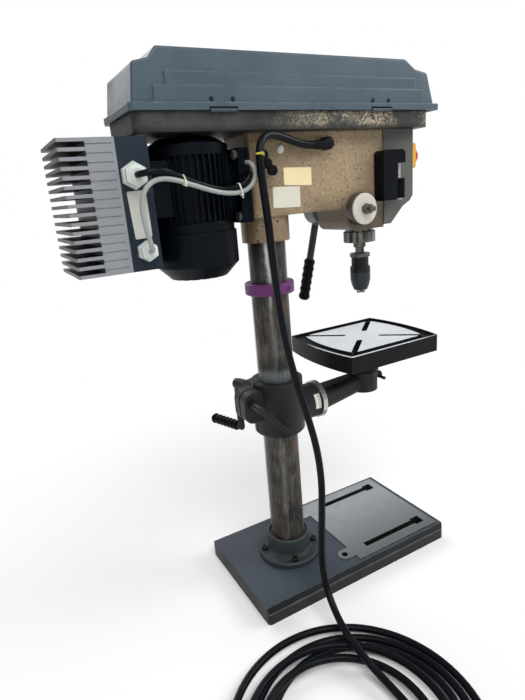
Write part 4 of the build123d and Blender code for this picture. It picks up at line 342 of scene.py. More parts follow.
def enamel(name, body, dusty, bare, rough=0.42, shine=0.3, depth=0.0004, edge_share=0.6, dust=0.3):
    """Enamel on iron: cloudy colour, a fine cast skin, and worn edges that show the metal."""
    finish, tree, shader, spot = begin_finish(name)
    tops, edges = skin_and_edges(tree, shader, spot, grain=420.0, depth=depth, radius=0.0018)
    film = blotches(tree, spot, size=11.0, low=0.4, high=0.75)
    shade = layered(tree, body, (film, dust, dusty), (tops, 0.2, dusty), (edges, edge_share, bare))
    dulled = between(tree, film, rough, rough + 0.22)
    set_inputs(tree, shader, Base_Color=shade, Specular_IOR_Level=shine, Roughness=dulled)
    return finish


dress(enamel("grey-green enamel on iron", (47, 54, 56), (80, 84, 83), (118, 120, 116)), "column_flange")


def steel(name, body, stain, rough=0.3, metal=1.0):
    """Bare or blackened steel with a fine tooled skin and stains."""
    finish, tree, shader, spot = begin_finish(name)
    skin_and_edges(tree, shader, spot, grain=1400.0, depth=0.0001, radius=0.0006)
    film = blotches(tree, spot, size=26.0, low=0.42)
    shade = layered(tree, body, (film, 0.4, stain))
    dulled = between(tree, film, rough, rough + 0.3)
    set_inputs(tree, shader, Base_Color=shade, Metallic=metal, Roughness=dulled)
    return finish


blackened_steel = steel("blackened steel", (27, 27, 28), (56, 53, 50), rough=0.4, metal=0.4)
dress(blackened_steel, "flange_screws")


# Column: a ground steel tube, browned and rusted in streaks along its length. Above the stop ring,
# bright and dark strips at fixed angles round it are painted highlights and painted shade. The
# bracket has kept a band just above itself clean, and over that lies a band of tarnish.

CLEAN_BAND = 0.024
CLEAN_FROM = -0.02
CLEAN_FADE = (0.004, -0.006)
TARNISH_FADE = (0.034, 0.012)
BAND_WAVER = 0.016
HIGHLIGHT_STRIP_WAVER = 0.9
RUST_FADE = (0.42, 0.62)
SCRATCH_FADE = (0.35, 0.65)
RING_FADE = 0.03
bracket_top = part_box("table_bracket")[1].z
ring_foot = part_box("stop_ring")[0].z


def mapped(tree, spot, **change):
    """Coordinates after a change of scale or place; noise draws out along an axis of small scale."""
    return node(tree, "ShaderNodeMapping", Vector=spot, **change).outputs["Vector"]


column_steel, tree, shader, spot = begin_finish("browned column steel")
across, along, height = parts_of(tree, spot)
drawn = mapped(tree, spot, Scale=(62.0, 62.0, 15.0))
streaks = noise(tree, drawn, detail=8.0, coarse=0.7)
scratches = noise(tree, mapped(tree, spot, Scale=(420.0, 420.0, 16.0)))
rust = ramp(tree, streaks, *RUST_FADE)
dark = blotches(tree, spot, size=15.0, low=0.42, high=0.6)
patina = blotches(tree, drawn, size=2.2, low=0.5, high=0.62)
orange = blotches(tree, drawn, size=0.7, low=0.56)
above_ring = ramp(tree, height, ring_foot - RING_FADE, ring_foot, 0.2, 1.0)
below_ring = ramp(tree, height, ring_foot - RING_FADE, ring_foot, 1.0, 0.15)
shade = layered(
    tree, mix(tree, rust, (84, 83, 80), (54, 46, 39)), (dark, 0.85, (34, 32, 30)),
    (patina, 0.38, (118, 112, 103)), (times(tree, orange, below_ring), 0.65, (112, 74, 46)),
)
uneven = calc(tree, "SUBTRACT", streaks, 0.5)
# Wavering angle round the column that places the painted highlights and painted shade in strips.
bearing = calc(tree, "ADD", calc(tree, "ARCTAN2", along, across), times(tree, uneven, HIGHLIGHT_STRIP_WAVER))
for centre, half_width, strength, highlight_and_shade_colour in (
    (112, 34, 0.95, (26, 25, 26)),
    (64, 20, 0.7, (196, 197, 196)),
    (150, 12, 0.85, (222, 222, 220)),
    (-134, 12, 0.55, (190, 184, 176)),
    (-60, 24, 0.6, (180, 178, 174)),
    (20, 26, 0.6, (52, 48, 45)),
):
    off_centre = calc(tree, "ABSOLUTE", calc(tree, "SUBTRACT", bearing, math.radians(centre)))
    highlight_and_shade_strip = ramp(tree, off_centre, math.radians(half_width), 0.0)
    shade = layered(tree, shade, (times(tree, highlight_and_shade_strip, above_ring), strength, highlight_and_shade_colour))
ragged_height = calc(tree, "ADD", height, times(tree, uneven, BAND_WAVER))
above_band = calc(tree, "SUBTRACT", ragged_height, bracket_top + CLEAN_BAND)
over_bracket = calc(tree, "GREATER_THAN", height, bracket_top + CLEAN_FROM)
tarnish = times(tree, ramp(tree, above_band, *TARNISH_FADE), over_bracket)
clean = times(tree, ramp(tree, above_band, *CLEAN_FADE), over_bracket)
shade = layered(
    tree, shade, (tarnish, 0.6, (34, 37, 36)), (clean, 0.6, (122, 130, 133)),
    (ramp(tree, scratches, *SCRATCH_FADE), 0.35, (40, 36, 34)),
)
scored = node(tree, "ShaderNodeBump", Height=scratches, Distance=0.00012)
set_inputs(
    tree, shader, Base_Color=shade, Specular_IOR_Level=0.3, Metallic=between(tree, rust, 0.5, 0.2),
    Roughness=between(tree, rust, 0.32, 0.55), Normal=scored.outputs["Normal"],
)
dress(column_steel, "column")


# Column rack and lifting gear: bright cut teeth. The rack stands loose beside the column and
# swings round with the bracket.

bright_steel = steel("bright cut steel", (150, 148, 144), (104, 97, 88), metal=0.9)
dress(bright_steel, "column_rack", "lift_gear")


# Stop ring: a violet anodised collar round the column that keeps the rack down. One small black
# grub screw locks it.

SHARP_ANGLE = math.radians(35)


def finished_piece(name, shape, finish):
    """Object at the origin from a shape that is already in its place."""
    bmesh.ops.recalc_face_normals(shape, faces=shape.faces)
    mesh = bpy.data.meshes.new(name)
    shape.to_mesh(mesh)
    shape.free()
    mesh.materials.append(finish)
    mesh.shade_smooth()
    mesh.set_sharp_from_angle(angle=SHARP_ANGLE)
    piece = bpy.data.objects.new(name, mesh)
    scene.collection.objects.link(piece)
    return piece


def join_rows(shape, rows):
    """Faces between neighbouring rows of corners, where a row is a closed loop or a single point."""
    for here, ahead in zip(rows, rows[1:]):
        for k in range(max(len(here), len(ahead))):
            around = ((here, k), (here, k + 1), (ahead, k + 1), (ahead, k))
            shape.faces.new(list(dict.fromkeys(row[j % len(row)] for row, j in around)))


def turned_piece(name, profile, place, outward, finish, sides=40):
    """Round piece from (radius, rise) pairs, standing on a spot and pointing outwards."""
    shape = bmesh.new()
    rings = []
    for radius, rise in profile:
        angles = [math.tau * k / sides for k in range(sides if radius else 1)]
        rings.append([shape.verts.new((radius * math.cos(a), radius * math.sin(a), rise)) for a in angles])
    join_rows(shape, rings)
    stand = Vector(outward).to_track_quat("Z", "Y").to_matrix().to_4x4()
    bmesh.ops.transform(shape, matrix=Matrix.Translation(place) @ stand, verts=shape.verts)
    return finished_piece(name, shape, finish)


violet_anodising = enamel(
    "violet anodising", (93, 40, 95), (112, 66, 113), (150, 110, 150), rough=0.34, depth=0.0001, edge_share=0.4
)
dress(violet_anodising, "stop_ring")
GRUB_ANGLE = math.radians(-160.5)
GRUB_RADIUS = 0.0034
GRUB_RISE = 0.0009
GRUB_EDGE = 0.0007
GRUB_SEAT = 0.0004
SOCKET_FLOOR = 0.0003
ring_low, ring_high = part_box("stop_ring")
ring_radius = (ring_high.x - ring_low.x) / 2
grub_way = Vector((math.cos(GRUB_ANGLE), math.sin(GRUB_ANGLE), 0.0))
grub_spot = (ring_radius - GRUB_SEAT) * grub_way + Vector((0, 0, (ring_low.z + ring_high.z) / 2))
grub_profile = [
    (0, 0), (GRUB_RADIUS, 0), (GRUB_RADIUS, GRUB_EDGE), (GRUB_RADIUS * 0.86, GRUB_RISE),
    (GRUB_RADIUS * 0.6, GRUB_RISE), (GRUB_RADIUS * 0.5, SOCKET_FLOOR), (0, SOCKET_FLOOR),
]
grub_steel = steel("black grub screw", (9, 9, 10), (24, 23, 23), rough=0.5, metal=0.2)
grub_screw = turned_piece("ring_grub_screw", grub_profile, grub_spot, grub_way, grub_steel, sides=24)
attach(grub_screw, "machine")


# Table bracket and arm: black iron castings, the split sleeve with its gear housing and the
# tapering arm that tilts on it. A bright strap and a white scale mark the joint.

black_casting = enamel(
    "satin black casting", (19, 22, 24), (48, 51, 52), (100, 99, 96), rough=0.4, depth=0.001, dust=0.45
)
dress(black_casting, "table_bracket", "table_arm")
strap_steel = steel("bright strap steel", (196, 196, 190), (136, 130, 118), rough=0.22, metal=0.85)
dress(strap_steel, "tilt_scale_ring")


def moulding(
    name, body, dusty, rough=0.42, shine=0.5, grain=700.0, depth=0.00012, dust=0.25, edge=0.001, edge_share=0.3
):
    """Moulded plastic or rubber: a fine even skin with a film of dust."""
    finish, tree, shader, spot = begin_finish(name)
    tops, edges = skin_and_edges(tree, shader, spot, grain=grain, depth=depth, radius=edge)
    film = blotches(tree, spot, size=8.0, low=0.4, high=0.8)
    shade = layered(tree, body, (film, dust, dusty), (tops, 0.12, dusty), (edges, edge_share, dusty))
    dulled = between(tree, film, rough, rough + 0.2)
    set_inputs(tree, shader, Base_Color=shade, Specular_IOR_Level=shine, Roughness=dulled)
    return finish


# Marks set round an axis: count, spacing and size are inputs, and so is the finish.
SHAPE = "NodeSocketGeometry"
marks_round_an_axis = bpy.data.node_groups.new("marks round an axis", "GeometryNodeTree")
tree = marks_round_an_axis
for label, kind in (
    ("Geometry", SHAPE), ("Count", "NodeSocketInt"), ("Radius", NUMBER), ("First angle", NUMBER),
    ("Step angle", NUMBER), ("Slope", NUMBER), ("Mark size", VECTOR), ("Finish", "NodeSocketMaterial"),
):
    tree.interface.new_socket(label, in_out="INPUT", socket_type=kind)
tree.interface.new_socket("Geometry", in_out="OUTPUT", socket_type=SHAPE)
given = tree.nodes.new("NodeGroupInput").outputs
pill = node(tree, "GeometryNodeMeshUVSphere", Segments=10, Rings=7, Radius=0.5)
away = node(tree, "ShaderNodeCombineXYZ", X=given["Radius"])
leaning = node(tree, "ShaderNodeCombineXYZ", Y=given["Slope"])
mark = node(
    tree, "GeometryNodeTransform", Geometry=pill.outputs["Mesh"], Translation=away.outputs["Vector"],
    Rotation=leaning.outputs["Vector"], Scale=given["Mark size"],
)
line = node(tree, "GeometryNodeMeshLine", Count=given["Count"], Offset=(0.0, 0.0, 0.0))
number = node(tree, "GeometryNodeInputIndex").outputs["Index"]
turned_by = calc(tree, "MULTIPLY_ADD", number, given["Step angle"], given["First angle"])
facing = node(tree, "ShaderNodeCombineXYZ", Z=turned_by)
spread = node(
    tree, "GeometryNodeInstanceOnPoints", Points=line.outputs["Mesh"], Instance=mark.outputs["Geometry"],
    Rotation=facing.outputs["Vector"],
)
solid = node(tree, "GeometryNodeRealizeInstances", Geometry=spread.outputs["Instances"])
coated = node(tree, "GeometryNodeSetMaterial", Geometry=solid.outputs["Geometry"], Material=given["Finish"])
tree.links.new(coated.outputs["Geometry"], tree.nodes.new("NodeGroupOutput").inputs["Geometry"])


def grown_marks(name, stand, **settings):
    """Marks round an upright axis made into a plain mesh, then put in their place."""
    piece = bpy.data.objects.new(name, bpy.data.meshes.new(name))
    scene.collection.objects.link(piece)
    grower = piece.modifiers.new("marks", "NODES")
    grower.node_group = marks_round_an_axis
    for item in marks_round_an_axis.interface.items_tree:
        setting = item.name.replace(" ", "_").lower()
        if item.in_out == "INPUT" and setting in settings:
            grower[item.identifier] = settings[setting]
    bpy.context.view_layer.update()
    ready = piece.evaluated_get(bpy.context.evaluated_depsgraph_get())
    mesh = bpy.data.meshes.new_from_object(ready)
    piece.modifiers.remove(grower)
    mesh.transform(stand)
    mesh.shade_smooth()
    piece.data = mesh
    return piece


TILT_Z = 0.371
BOSS_RADIUS = 0.036
PLATE_NEAR = -0.0665
PLATE_FAR = -0.0795
PLATE_FROM = math.radians(141)
PLATE_TO = math.radians(190)
PLATE_STEPS = 16
PLATE_RADIUS = BOSS_RADIUS + 0.0005
scale_white = moulding("white scale plate", (222, 222, 212), (160, 152, 136), rough=0.35)
section = [
    (BOSS_RADIUS, PLATE_NEAR), (PLATE_RADIUS, PLATE_NEAR), (PLATE_RADIUS, PLATE_FAR), (BOSS_RADIUS, PLATE_FAR)
]
shape = bmesh.new()
rows = []
for k in range(PLATE_STEPS + 1):
    angle = PLATE_FROM + (PLATE_TO - PLATE_FROM) * k / PLATE_STEPS
    row = [(radius * math.cos(angle), y, TILT_Z + radius * math.sin(angle)) for radius, y in section]
    rows.append([shape.verts.new(corner) for corner in row])
join_rows(shape, rows)
shape.faces.new(rows[0])
shape.faces.new(rows[-1])
scale_plate = finished_piece("tilt_scale_plate", shape, scale_white)
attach(scale_plate, "bracket")

MARKS_INSET = 0.0034
FIRST_MARK = 0.08
scale_ink = moulding("black scale ink", (24, 24, 24), (60, 60, 58), rough=0.5)
lying_in_y = Matrix.Rotation(math.radians(-90), 4, "X")
on_the_plate = Matrix.Translation((0, PLATE_FAR + MARKS_INSET, TILT_Z)) @ lying_in_y
tilt_marks = grown_marks(
    "tilt_scale_marks", on_the_plate, count=9, radius=PLATE_RADIUS, first_angle=-PLATE_FROM - FIRST_MARK,
    step_angle=math.radians(-5), slope=0.0, mark_size=(0.0004, 0.0011, 0.0056), finish=scale_ink,
)
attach(tilt_marks, "bracket")


# Crank and clamp levers: blackened steel arms. The crank turns a black moulded grip with finger
# scallops.

dress(blackened_steel, "crank", "bracket_clamp_lever", "table_lock_lever")
black_moulding = moulding("black moulding", (4, 8, 14), (22, 27, 33), rough=0.4, shine=0.1)
dress(black_moulding, "crank_grip")


# Work table: an iron table with a ground top inside a coolant trough, and four slots. Trough and
# sides are black; a painted highlight makes the rim top pale along the left side and its rear corner.

TROUGH_INNER = 0.018
TABLE_BOW = 0.012
TOP_SKIM = 0.0009
HIGHLIT_WAY_X, HIGHLIT_WAY_Y = -0.87, 0.49
HIGHLIT_RIM_FADE = (0.03, 0.07)
table_low, table_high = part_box("work_table")
table_middle = (table_low + table_high) / 2
half_width = table_high.x - table_middle.x
half_length = table_high.y - table_middle.y
table_iron, tree, shader, spot = begin_finish("ground table iron")
centred = mapped(tree, spot, Location=(-table_middle.x, -table_middle.y, 0.0))
across, along, height = parts_of(tree, centred)
bow = times(tree, calc(tree, "POWER", calc(tree, "DIVIDE", across, half_width), 2.0), TABLE_BOW)
edge_in_x = calc(tree, "SUBTRACT", half_width, calc(tree, "ABSOLUTE", across))
edge_in_y = calc(tree, "SUBTRACT", half_length, calc(tree, "ADD", calc(tree, "ABSOLUTE", along), bow))
inside = calc(tree, "GREATER_THAN", calc(tree, "MINIMUM", edge_in_x, edge_in_y), TROUGH_INNER)
high = calc(tree, "GREATER_THAN", height, table_high.z - TOP_SKIM)
# The rim top on the side that faces the camera is made pale as a painted highlight, like the ground top.
towards = calc(tree, "ADD", times(tree, across, HIGHLIT_WAY_X), times(tree, along, HIGHLIT_WAY_Y))
bare = times(tree, high, calc(tree, "MAXIMUM", inside, ramp(tree, towards, *HIGHLIT_RIM_FADE)))
film = blotches(tree, spot, size=16.0, low=0.35, high=0.75)
tops, _ = skin_and_edges(tree, shader, spot, grain=420.0, depth=0.0003, radius=0.0014)
ground = layered(tree, (224, 228, 233), (film, 0.5, (190, 195, 201)), (tops, 0.25, (176, 178, 182)))
painted = layered(tree, (12, 14, 16), (film, 0.35, (34, 36, 38)))
set_inputs(
    tree, shader, Base_Color=mix(tree, bare, painted, ground), Specular_IOR_Level=0.12,
    Metallic=between(tree, bare, 0.0, 0.15), Roughness=between(tree, bare, 0.42, 0.36),
)
dress(table_iron, "work_table")


# Head: an iron casting in bronze hammer enamel, mottled, flecked with dark specks and browned
# along its edges, with painted glints on its hammered skin and painted shade towards the rear.
# It carries the quill and clamps round the top of the column.

# Flecks: a scatter of small round specks of mixed sizes.
fleck_scatter, given, result = shared_effect(
    "fleck scatter", {"Cells": 160.0, "Share": 0.4, "Size": 0.5}, {"Mask": NUMBER}
)
FLECK_WAVER = (0.0016, 0.0016, 0.0016)
FLECK_EDGE = (-0.02, 0.03)
tree = fleck_scatter
waver = node(tree, "ShaderNodeTexNoise", Vector=given["Vector"], Scale=700.0, Detail=2.0).outputs["Color"]
shift = calc(tree, "MULTIPLY", waver, FLECK_WAVER, kind=VECTOR_SUM, result="Vector")
moved = calc(tree, "ADD", given["Vector"], shift, kind=VECTOR_SUM, result="Vector")
cells = node(tree, "ShaderNodeTexVoronoi", Vector=moved, Scale=given["Cells"]).outputs
draw = node(tree, "ShaderNodeSeparateColor", Color=cells["Color"]).outputs["Red"]
kept = calc(tree, "SUBTRACT", calc(tree, "ADD", draw, given["Share"]), 1.0)
within = calc(tree, "SUBTRACT", times(tree, kept, given["Size"]), cells["Distance"])
plug_in(tree, result["Mask"], ramp(tree, within, *FLECK_EDGE))


REAR_SHADE_FADE = (-0.09, 0.05)
FRONT_FADE = (-0.06, -0.1)


def hammer_enamel(name, body, light, dark, brown, speck, grimy, oily):
    """Hammer enamel: strong fine mottle, painted glints on the skin's tops, dark flecks, brown edges, grime
    and oil towards two heights, and painted shade towards the rear.
    """
    finish, tree, shader, spot = begin_finish(name)
    along, height = parts_of(tree, spot)[1:]
    tops, edges = skin_and_edges(tree, shader, spot, grain=210.0, depth=0.0008, radius=0.004, patches=40.0)
    hollows = blotches(tree, spot, size=170.0, low=0.52, high=0.66)
    stain = blotches(tree, spot, size=7.0, low=0.42)
    crowding = between(tree, blotches(tree, spot, size=9.0), 0.4, 0.6)
    fine = use_effect(tree, fleck_scatter, Vector=spot, Cells=170.0, Share=crowding, Size=0.62)["Mask"]
    broad = use_effect(tree, fleck_scatter, Vector=spot, Cells=70.0, Share=0.36, Size=0.5)["Mask"]
    # Grime towards one height; towards the rear this darkening is painted shade.
    grime = calc(tree, "MAXIMUM", ramp(tree, height, *grimy), ramp(tree, along, *REAR_SHADE_FADE))
    oil = times(tree, ramp(tree, along, *FRONT_FADE), ramp(tree, height, *oily))
    # The light colour on the skin's tops is a painted glint.
    shade = layered(
        tree, body, (tops, 0.75, light), (hollows, 0.6, dark), (stain, 0.45, brown), (grime, 0.5, brown),
        (edges, 0.7, brown), (oil, 0.6, speck), (fine, 0.82, speck), (broad, 0.92, speck),
    )
    set_inputs(tree, shader, Base_Color=shade, Metallic=0.12, Roughness=between(tree, stain, 0.34, 0.5))
    return finish


head_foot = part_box("head_casting")[0].z
head_enamel = hammer_enamel(
    "bronze hammer enamel", body=(166, 147, 117), light=(212, 194, 162), dark=(122, 103, 79),
    brown=(92, 73, 51), speck=(38, 30, 24), grimy=(head_foot + 0.085, head_foot + 0.02),
    oily=(head_foot + 0.075, head_foot + 0.03),
)
dress(head_enamel, "head_casting")

HEAD_SIDE = -0.048
PLUG_SPOT = (HEAD_SIDE, -0.0136, 0.8607)
PLUG_PROFILE = [
    (0, 0), (0.0072, 0), (0.0072, 0.0006), (0.0060, 0.0010), (0.0060, 0.0034), (0.0052, 0.0044), (0, 0.0050)
]
plug_plastic = moulding("white plug plastic", (226, 224, 216), (170, 160, 142), rough=0.32)
hole_plug = turned_piece("head_hole_plug", PLUG_PROFILE, PLUG_SPOT, (-1, 0, 0), plug_plastic)
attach(hole_plug, "machine")


def paper_label(name, corners, face_x, finish, thick=0.00025, clip=0.0016):
    """Blank stuck-on label on a flat side: corners as (y, z), clipped a little at each corner."""
    shape = bmesh.new()
    outline = []
    for k, corner in enumerate(corners):
        here = Vector(corner)
        for other in (Vector(corners[k - 1]), Vector(corners[(k + 1) % len(corners)])):
            outline.append(here + clip * (other - here).normalized())
    back, front = [[shape.verts.new((x, y, z)) for y, z in outline] for x in (face_x, face_x - thick)]
    shape.faces.new(back)
    shape.faces.new(front)
    join_rows(shape, [back, front])
    return finished_piece(name, shape, finish)


cream_paper = moulding("aged cream paper", (236, 219, 174), (196, 168, 120), rough=0.55, dust=0.4)
white_paper = moulding("aged white paper", (214, 211, 196), (166, 156, 132), rough=0.55, dust=0.35)
UPPER_CORNERS = [(-0.0178, 0.8309), (-0.0751, 0.8289), (-0.0743, 0.7985), (-0.0173, 0.8020)]
LOWER_CORNERS = [(0.0060, 0.8005), (-0.0495, 0.7985), (-0.0485, 0.7635), (0.0070, 0.7655)]
for name, finish, corners in (
    ("upper_blank_label", cream_paper, UPPER_CORNERS),
    ("lower_blank_label", white_paper, LOWER_CORNERS),
):
    label = paper_label(name, corners, HEAD_SIDE, finish)
    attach(label, "machine")


# Quill and spindle: ground steel, streaked light and dark along its length, partly as wear and
# partly as painted reflection, and worn bright on its edges. A split clamp ring closes the end of
# the quill.

STREAK_FADE = (0.4, 0.62)
worn_steel, tree, shader, spot = begin_finish("worn turned steel")
# Light and dark streaks along the length: partly wear, partly painted reflection.
streaks = noise(tree, mapped(tree, spot, Scale=(150.0, 150.0, 9.0)), detail=5.0)
film = blotches(tree, spot, size=30.0, low=0.42)
edges = use_effect(tree, rubbed_and_highlit_edges, Vector=spot, Radius=0.0008)
shade = mix(tree, ramp(tree, streaks, *STREAK_FADE), (49, 48, 46), (138, 137, 133))
shade = layered(tree, shade, (film, 0.5, (74, 62, 52)), (edges["Mask"], 0.6, (190, 188, 184)))
set_inputs(
    tree, shader, Base_Color=shade, Metallic=0.6, Roughness=between(tree, film, 0.28, 0.46),
    Normal=edges["Normal"],
)
dress(worn_steel, "quill", "quill_collar", "spindle")
dress(bright_steel, "spindle_bearings")


# Chuck: a keyless drill chuck. Its neck and the upper band of the sleeve are blackened, its
# flange and the lower sleeve are dull steel with finger flutes round the nose.

SLEEVE_BAND_LOW = 0.6205
FLANGE_LOW = 0.6518


def banded_steel(name, split, low_body, high_body):
    """Dull steel in two tones that meet at a height."""
    finish, tree, shader, spot = begin_finish(name)
    upper = calc(tree, "GREATER_THAN", parts_of(tree, spot)["Z"], split)
    _, edges = skin_and_edges(tree, shader, spot, grain=1400.0, depth=0.0001, radius=0.0007)
    film = blotches(tree, spot, size=40.0, low=0.4)
    shade = mix(tree, upper, low_body, high_body)
    shade = layered(tree, shade, (film, 0.3, (60, 58, 56)), (edges, 0.6, (150, 150, 150)))
    set_inputs(tree, shader, Base_Color=shade, Metallic=0.7, Roughness=between(tree, film, 0.32, 0.5))
    return finish


dull_steel = (50, 55, 60)
chuck_black = (26, 27, 30)
dress(banded_steel("chuck sleeve steel", SLEEVE_BAND_LOW, dull_steel, chuck_black), "chuck_sleeve")
dress(banded_steel("chuck neck steel", FLANGE_LOW, chuck_black, (92, 91, 90)), "chuck_body")
dress(bright_steel, "chuck_jaw_1", "chuck_jaw_2", "chuck_jaw_3")

FLUTES = 14
FLUTE_RISE = 0.0095
sleeve_low, sleeve_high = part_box("chuck_sleeve")
chuck_axis = (sleeve_low + sleeve_high) / 2
flute_steel = steel("fluted nose steel", (54, 59, 64), (40, 41, 42), rough=0.34, metal=0.7)
round_the_nose = Matrix.Translation((chuck_axis.x, chuck_axis.y, sleeve_low.z + FLUTE_RISE))
nose_flutes = grown_marks(
    "chuck_nose_flutes", round_the_nose, count=FLUTES, radius=0.0168, first_angle=0.1,
    step_angle=math.tau / FLUTES, slope=math.radians(18), mark_size=(0.0017, 0.0046, 0.0165),
    finish=flute_steel,
)
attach(nose_flutes, "chuck_sleeve")


# Feed shaft and levers: a turned hub with three black rods, each ending in a moulded grip. The
# other end of the shaft is a stud with two nuts.

FEED_AXIS_Y = -0.1781
FEED_AXIS_Z = 0.749
HUB_REACH = 0.031
lever_steel, tree, shader, spot = begin_finish("hub and lever steel")
from_axis = mapped(tree, spot, Location=(0.0, -FEED_AXIS_Y, -FEED_AXIS_Z), Scale=(0.0, 1.0, 1.0))
on_rod = calc(tree, "GREATER_THAN", calc(tree, "LENGTH", from_axis, kind=VECTOR_SUM), HUB_REACH)
film = blotches(tree, spot, size=22.0, low=0.4)
skin_and_edges(tree, shader, spot, grain=900.0, depth=0.0002, radius=0.001)
shade = layered(tree, mix(tree, on_rod, (104, 110, 114), (34, 36, 37)), (film, 0.35, (66, 66, 64)))
set_inputs(
    tree, shader, Base_Color=shade, Metallic=between(tree, on_rod, 0.6, 0.3),
    Roughness=between(tree, film, 0.36, 0.55),
)
dress(lever_steel, "feed_hub")
dress(steel("dark nut steel", (116, 112, 106), (56, 51, 46), rough=0.24, metal=0.9), "feed_shaft")
dress(black_moulding, "feed_grips")


# Return spring: a flat spring in a cup on the head's side, under a pale pressed cap that the feed
# shaft's stud comes through.

cup_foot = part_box("spring_housing")[0].z
# As on the head, the light colour on its hammered skin's tops is a painted glint.
cup_enamel = hammer_enamel(
    "darker cup enamel", body=(76, 69, 60), light=(98, 89, 77), dark=(54, 47, 39), brown=(52, 43, 34),
    speck=(38, 32, 27), grimy=(cup_foot + 0.03, cup_foot), oily=(cup_foot + 0.02, cup_foot),
)
dress(cup_enamel, "spring_housing")
dress(moulding("pale spring cap", (204, 201, 192), (160, 150, 132), rough=0.34, edge=0.0015), "spring_cap")
dress(bright_steel, "return_spring")


# Front switch box and emergency stop: a folded sheet box in satin grey, with a yellow base and
# a red mushroom. The guard's black hinge block sits at its side.

box_enamel = enamel(
    "satin grey box enamel", (86, 88, 84), (106, 107, 101), (134, 134, 128), depth=0.0002, dust=0.35
)
dress(box_enamel, "front_switch_box")
dress(moulding("signal yellow", (226, 164, 48), (180, 140, 70), rough=0.3), "estop_base")
dress(moulding("signal red", (190, 32, 30), (150, 50, 46), rough=0.25), "estop_button")
dress(black_moulding, "guard_hinge_block", "guard_knuckle")
dress(strap_steel, "guard_hinge_pin")


# Belt tray: a pressed sheet tray under the lid. Its dark enamel is painted blackest along the
# bottom edge as painted shade, and has worn through to speckled beige towards the front.

WORN_FADE = (0.03, -0.12)
SHADED_EDGE_HIGH = 0.009
SHADED_EDGE_LOW = 0.003
tray_low, tray_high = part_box("belt_tray")
tray_enamel, tree, shader, spot = begin_finish("worn tray enamel")
along, height = parts_of(tree, spot)[1:]
_, edges = skin_and_edges(tree, shader, spot, grain=420.0, depth=0.0003, radius=0.003, patches=30.0)
film = blotches(tree, spot, size=9.0, low=0.42, high=0.66)
drips = blotches(tree, spot, size=30.0, low=0.5, high=0.72)
flecks = use_effect(tree, fleck_scatter, Vector=spot, Cells=130.0, Share=0.3, Size=0.55)["Mask"]
patches = blotches(tree, spot, size=13.0, low=0.46, high=0.56)
speckle = blotches(tree, spot, size=260.0, low=0.44, high=0.54)
worn = times(tree, times(tree, patches, speckle), ramp(tree, along, *WORN_FADE))
# Painted shade along the bottom edge and underside.
shaded_low_edge = ramp(tree, height, tray_low.z + SHADED_EDGE_HIGH, tray_low.z + SHADED_EDGE_LOW)
shade = layered(
    tree, (45, 46, 47), (film, 0.8, (80, 80, 78)), (drips, 0.4, (34, 34, 34)),
    (flecks, 0.55, (138, 130, 118)), (worn, 0.85, (176, 162, 136)), (shaded_low_edge, 0.75, (30, 28, 29)),
    (edges, 0.6, (36, 34, 33)),
)
set_inputs(tree, shader, Base_Color=shade, Specular_IOR_Level=0.3, Roughness=between(tree, film, 0.45, 0.65))
dress(tray_enamel, "belt_tray")


# Lid: one large slate blue moulding on two butt hinges, with a lip all round and two proud side
# panels. Its edges are painted a little lighter, as painted highlights.

# The lighter colour along the lid's edges is a painted highlight.
lid_moulding = moulding(
    "slate blue lid moulding", (66, 81, 91), (128, 144, 153),
    rough=0.38, shine=0.35, depth=0.00016, dust=0.12, edge=0.0025, edge_share=0.7,
)
dress(lid_moulding, "lid")

LID_LEAF_FROM = tray_high.z - 0.006
SCREWS_FROM = tray_high.z + 0.011
hinge_paint, tree, shader, spot = begin_finish("painted hinges with black screws")
height = parts_of(tree, spot)["Z"]
film = blotches(tree, spot, size=30.0)
shade = mix(tree, calc(tree, "GREATER_THAN", height, LID_LEAF_FROM), (58, 59, 59), (58, 72, 82))
shade = mix(tree, calc(tree, "GREATER_THAN", height, SCREWS_FROM), shade, (18, 19, 21))
shade = layered(tree, shade, (film, 0.3, (52, 52, 52)))
set_inputs(tree, shader, Base_Color=shade, Specular_IOR_Level=0.35, Roughness=0.42)
dress(hinge_paint, "tray_hinges", "lid_hinges")


# Belt drive: cast stepped pulleys and a black V belt, hidden under the lid. The motor's rotor and
# the pulley's bearing are bright steel.

cast_alloy = steel("cast pulley alloy", (170, 172, 174), (120, 120, 120), rough=0.38)
dress(cast_alloy, "spindle_pulley", "motor_pulley")
dress(bright_steel, "pulley_bearing", "motor_rotor")
dress(moulding("belt rubber", (26, 26, 26), (56, 56, 54), rough=0.7), "drive_belt")


# Motor: finned iron in black enamel with a pressed fan cowl, bolted to a plate that slides on two
# rods. A black wing screw locks the rods.

motor_enamel = enamel(
    "motor enamel", (4, 9, 17), (16, 23, 31), (44, 51, 58), rough=0.32, shine=0.1, depth=0.0003, dust=0.25
)
dress(motor_enamel, "motor_housing", "motor_fan_cowl", "motor_plate")
dress(worn_steel, "motor_bolts")
dress(black_moulding, "rod_lock_screw")


# Inverter: a dark moulded box behind the motor with an extruded heat sink on its back and two
# pale cable glands on its side. Its rating label is left blank.

inverter_moulding = moulding("inverter housing", (23, 34, 47), (46, 57, 68), rough=0.4, shine=0.25)
dress(inverter_moulding, "inverter_box")

FIN_REACH = 0.039
SLOT_SHADE_FADE = (0.0002, 0.0012)
SHADED_TIP_FROM = 0.003
SHADED_TIP_TO = 0.0005
sink_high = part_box("heat_sink")[1]
sink_alloy, tree, shader, spot = begin_finish("extruded sink alloy")
place = parts_of(tree, spot)
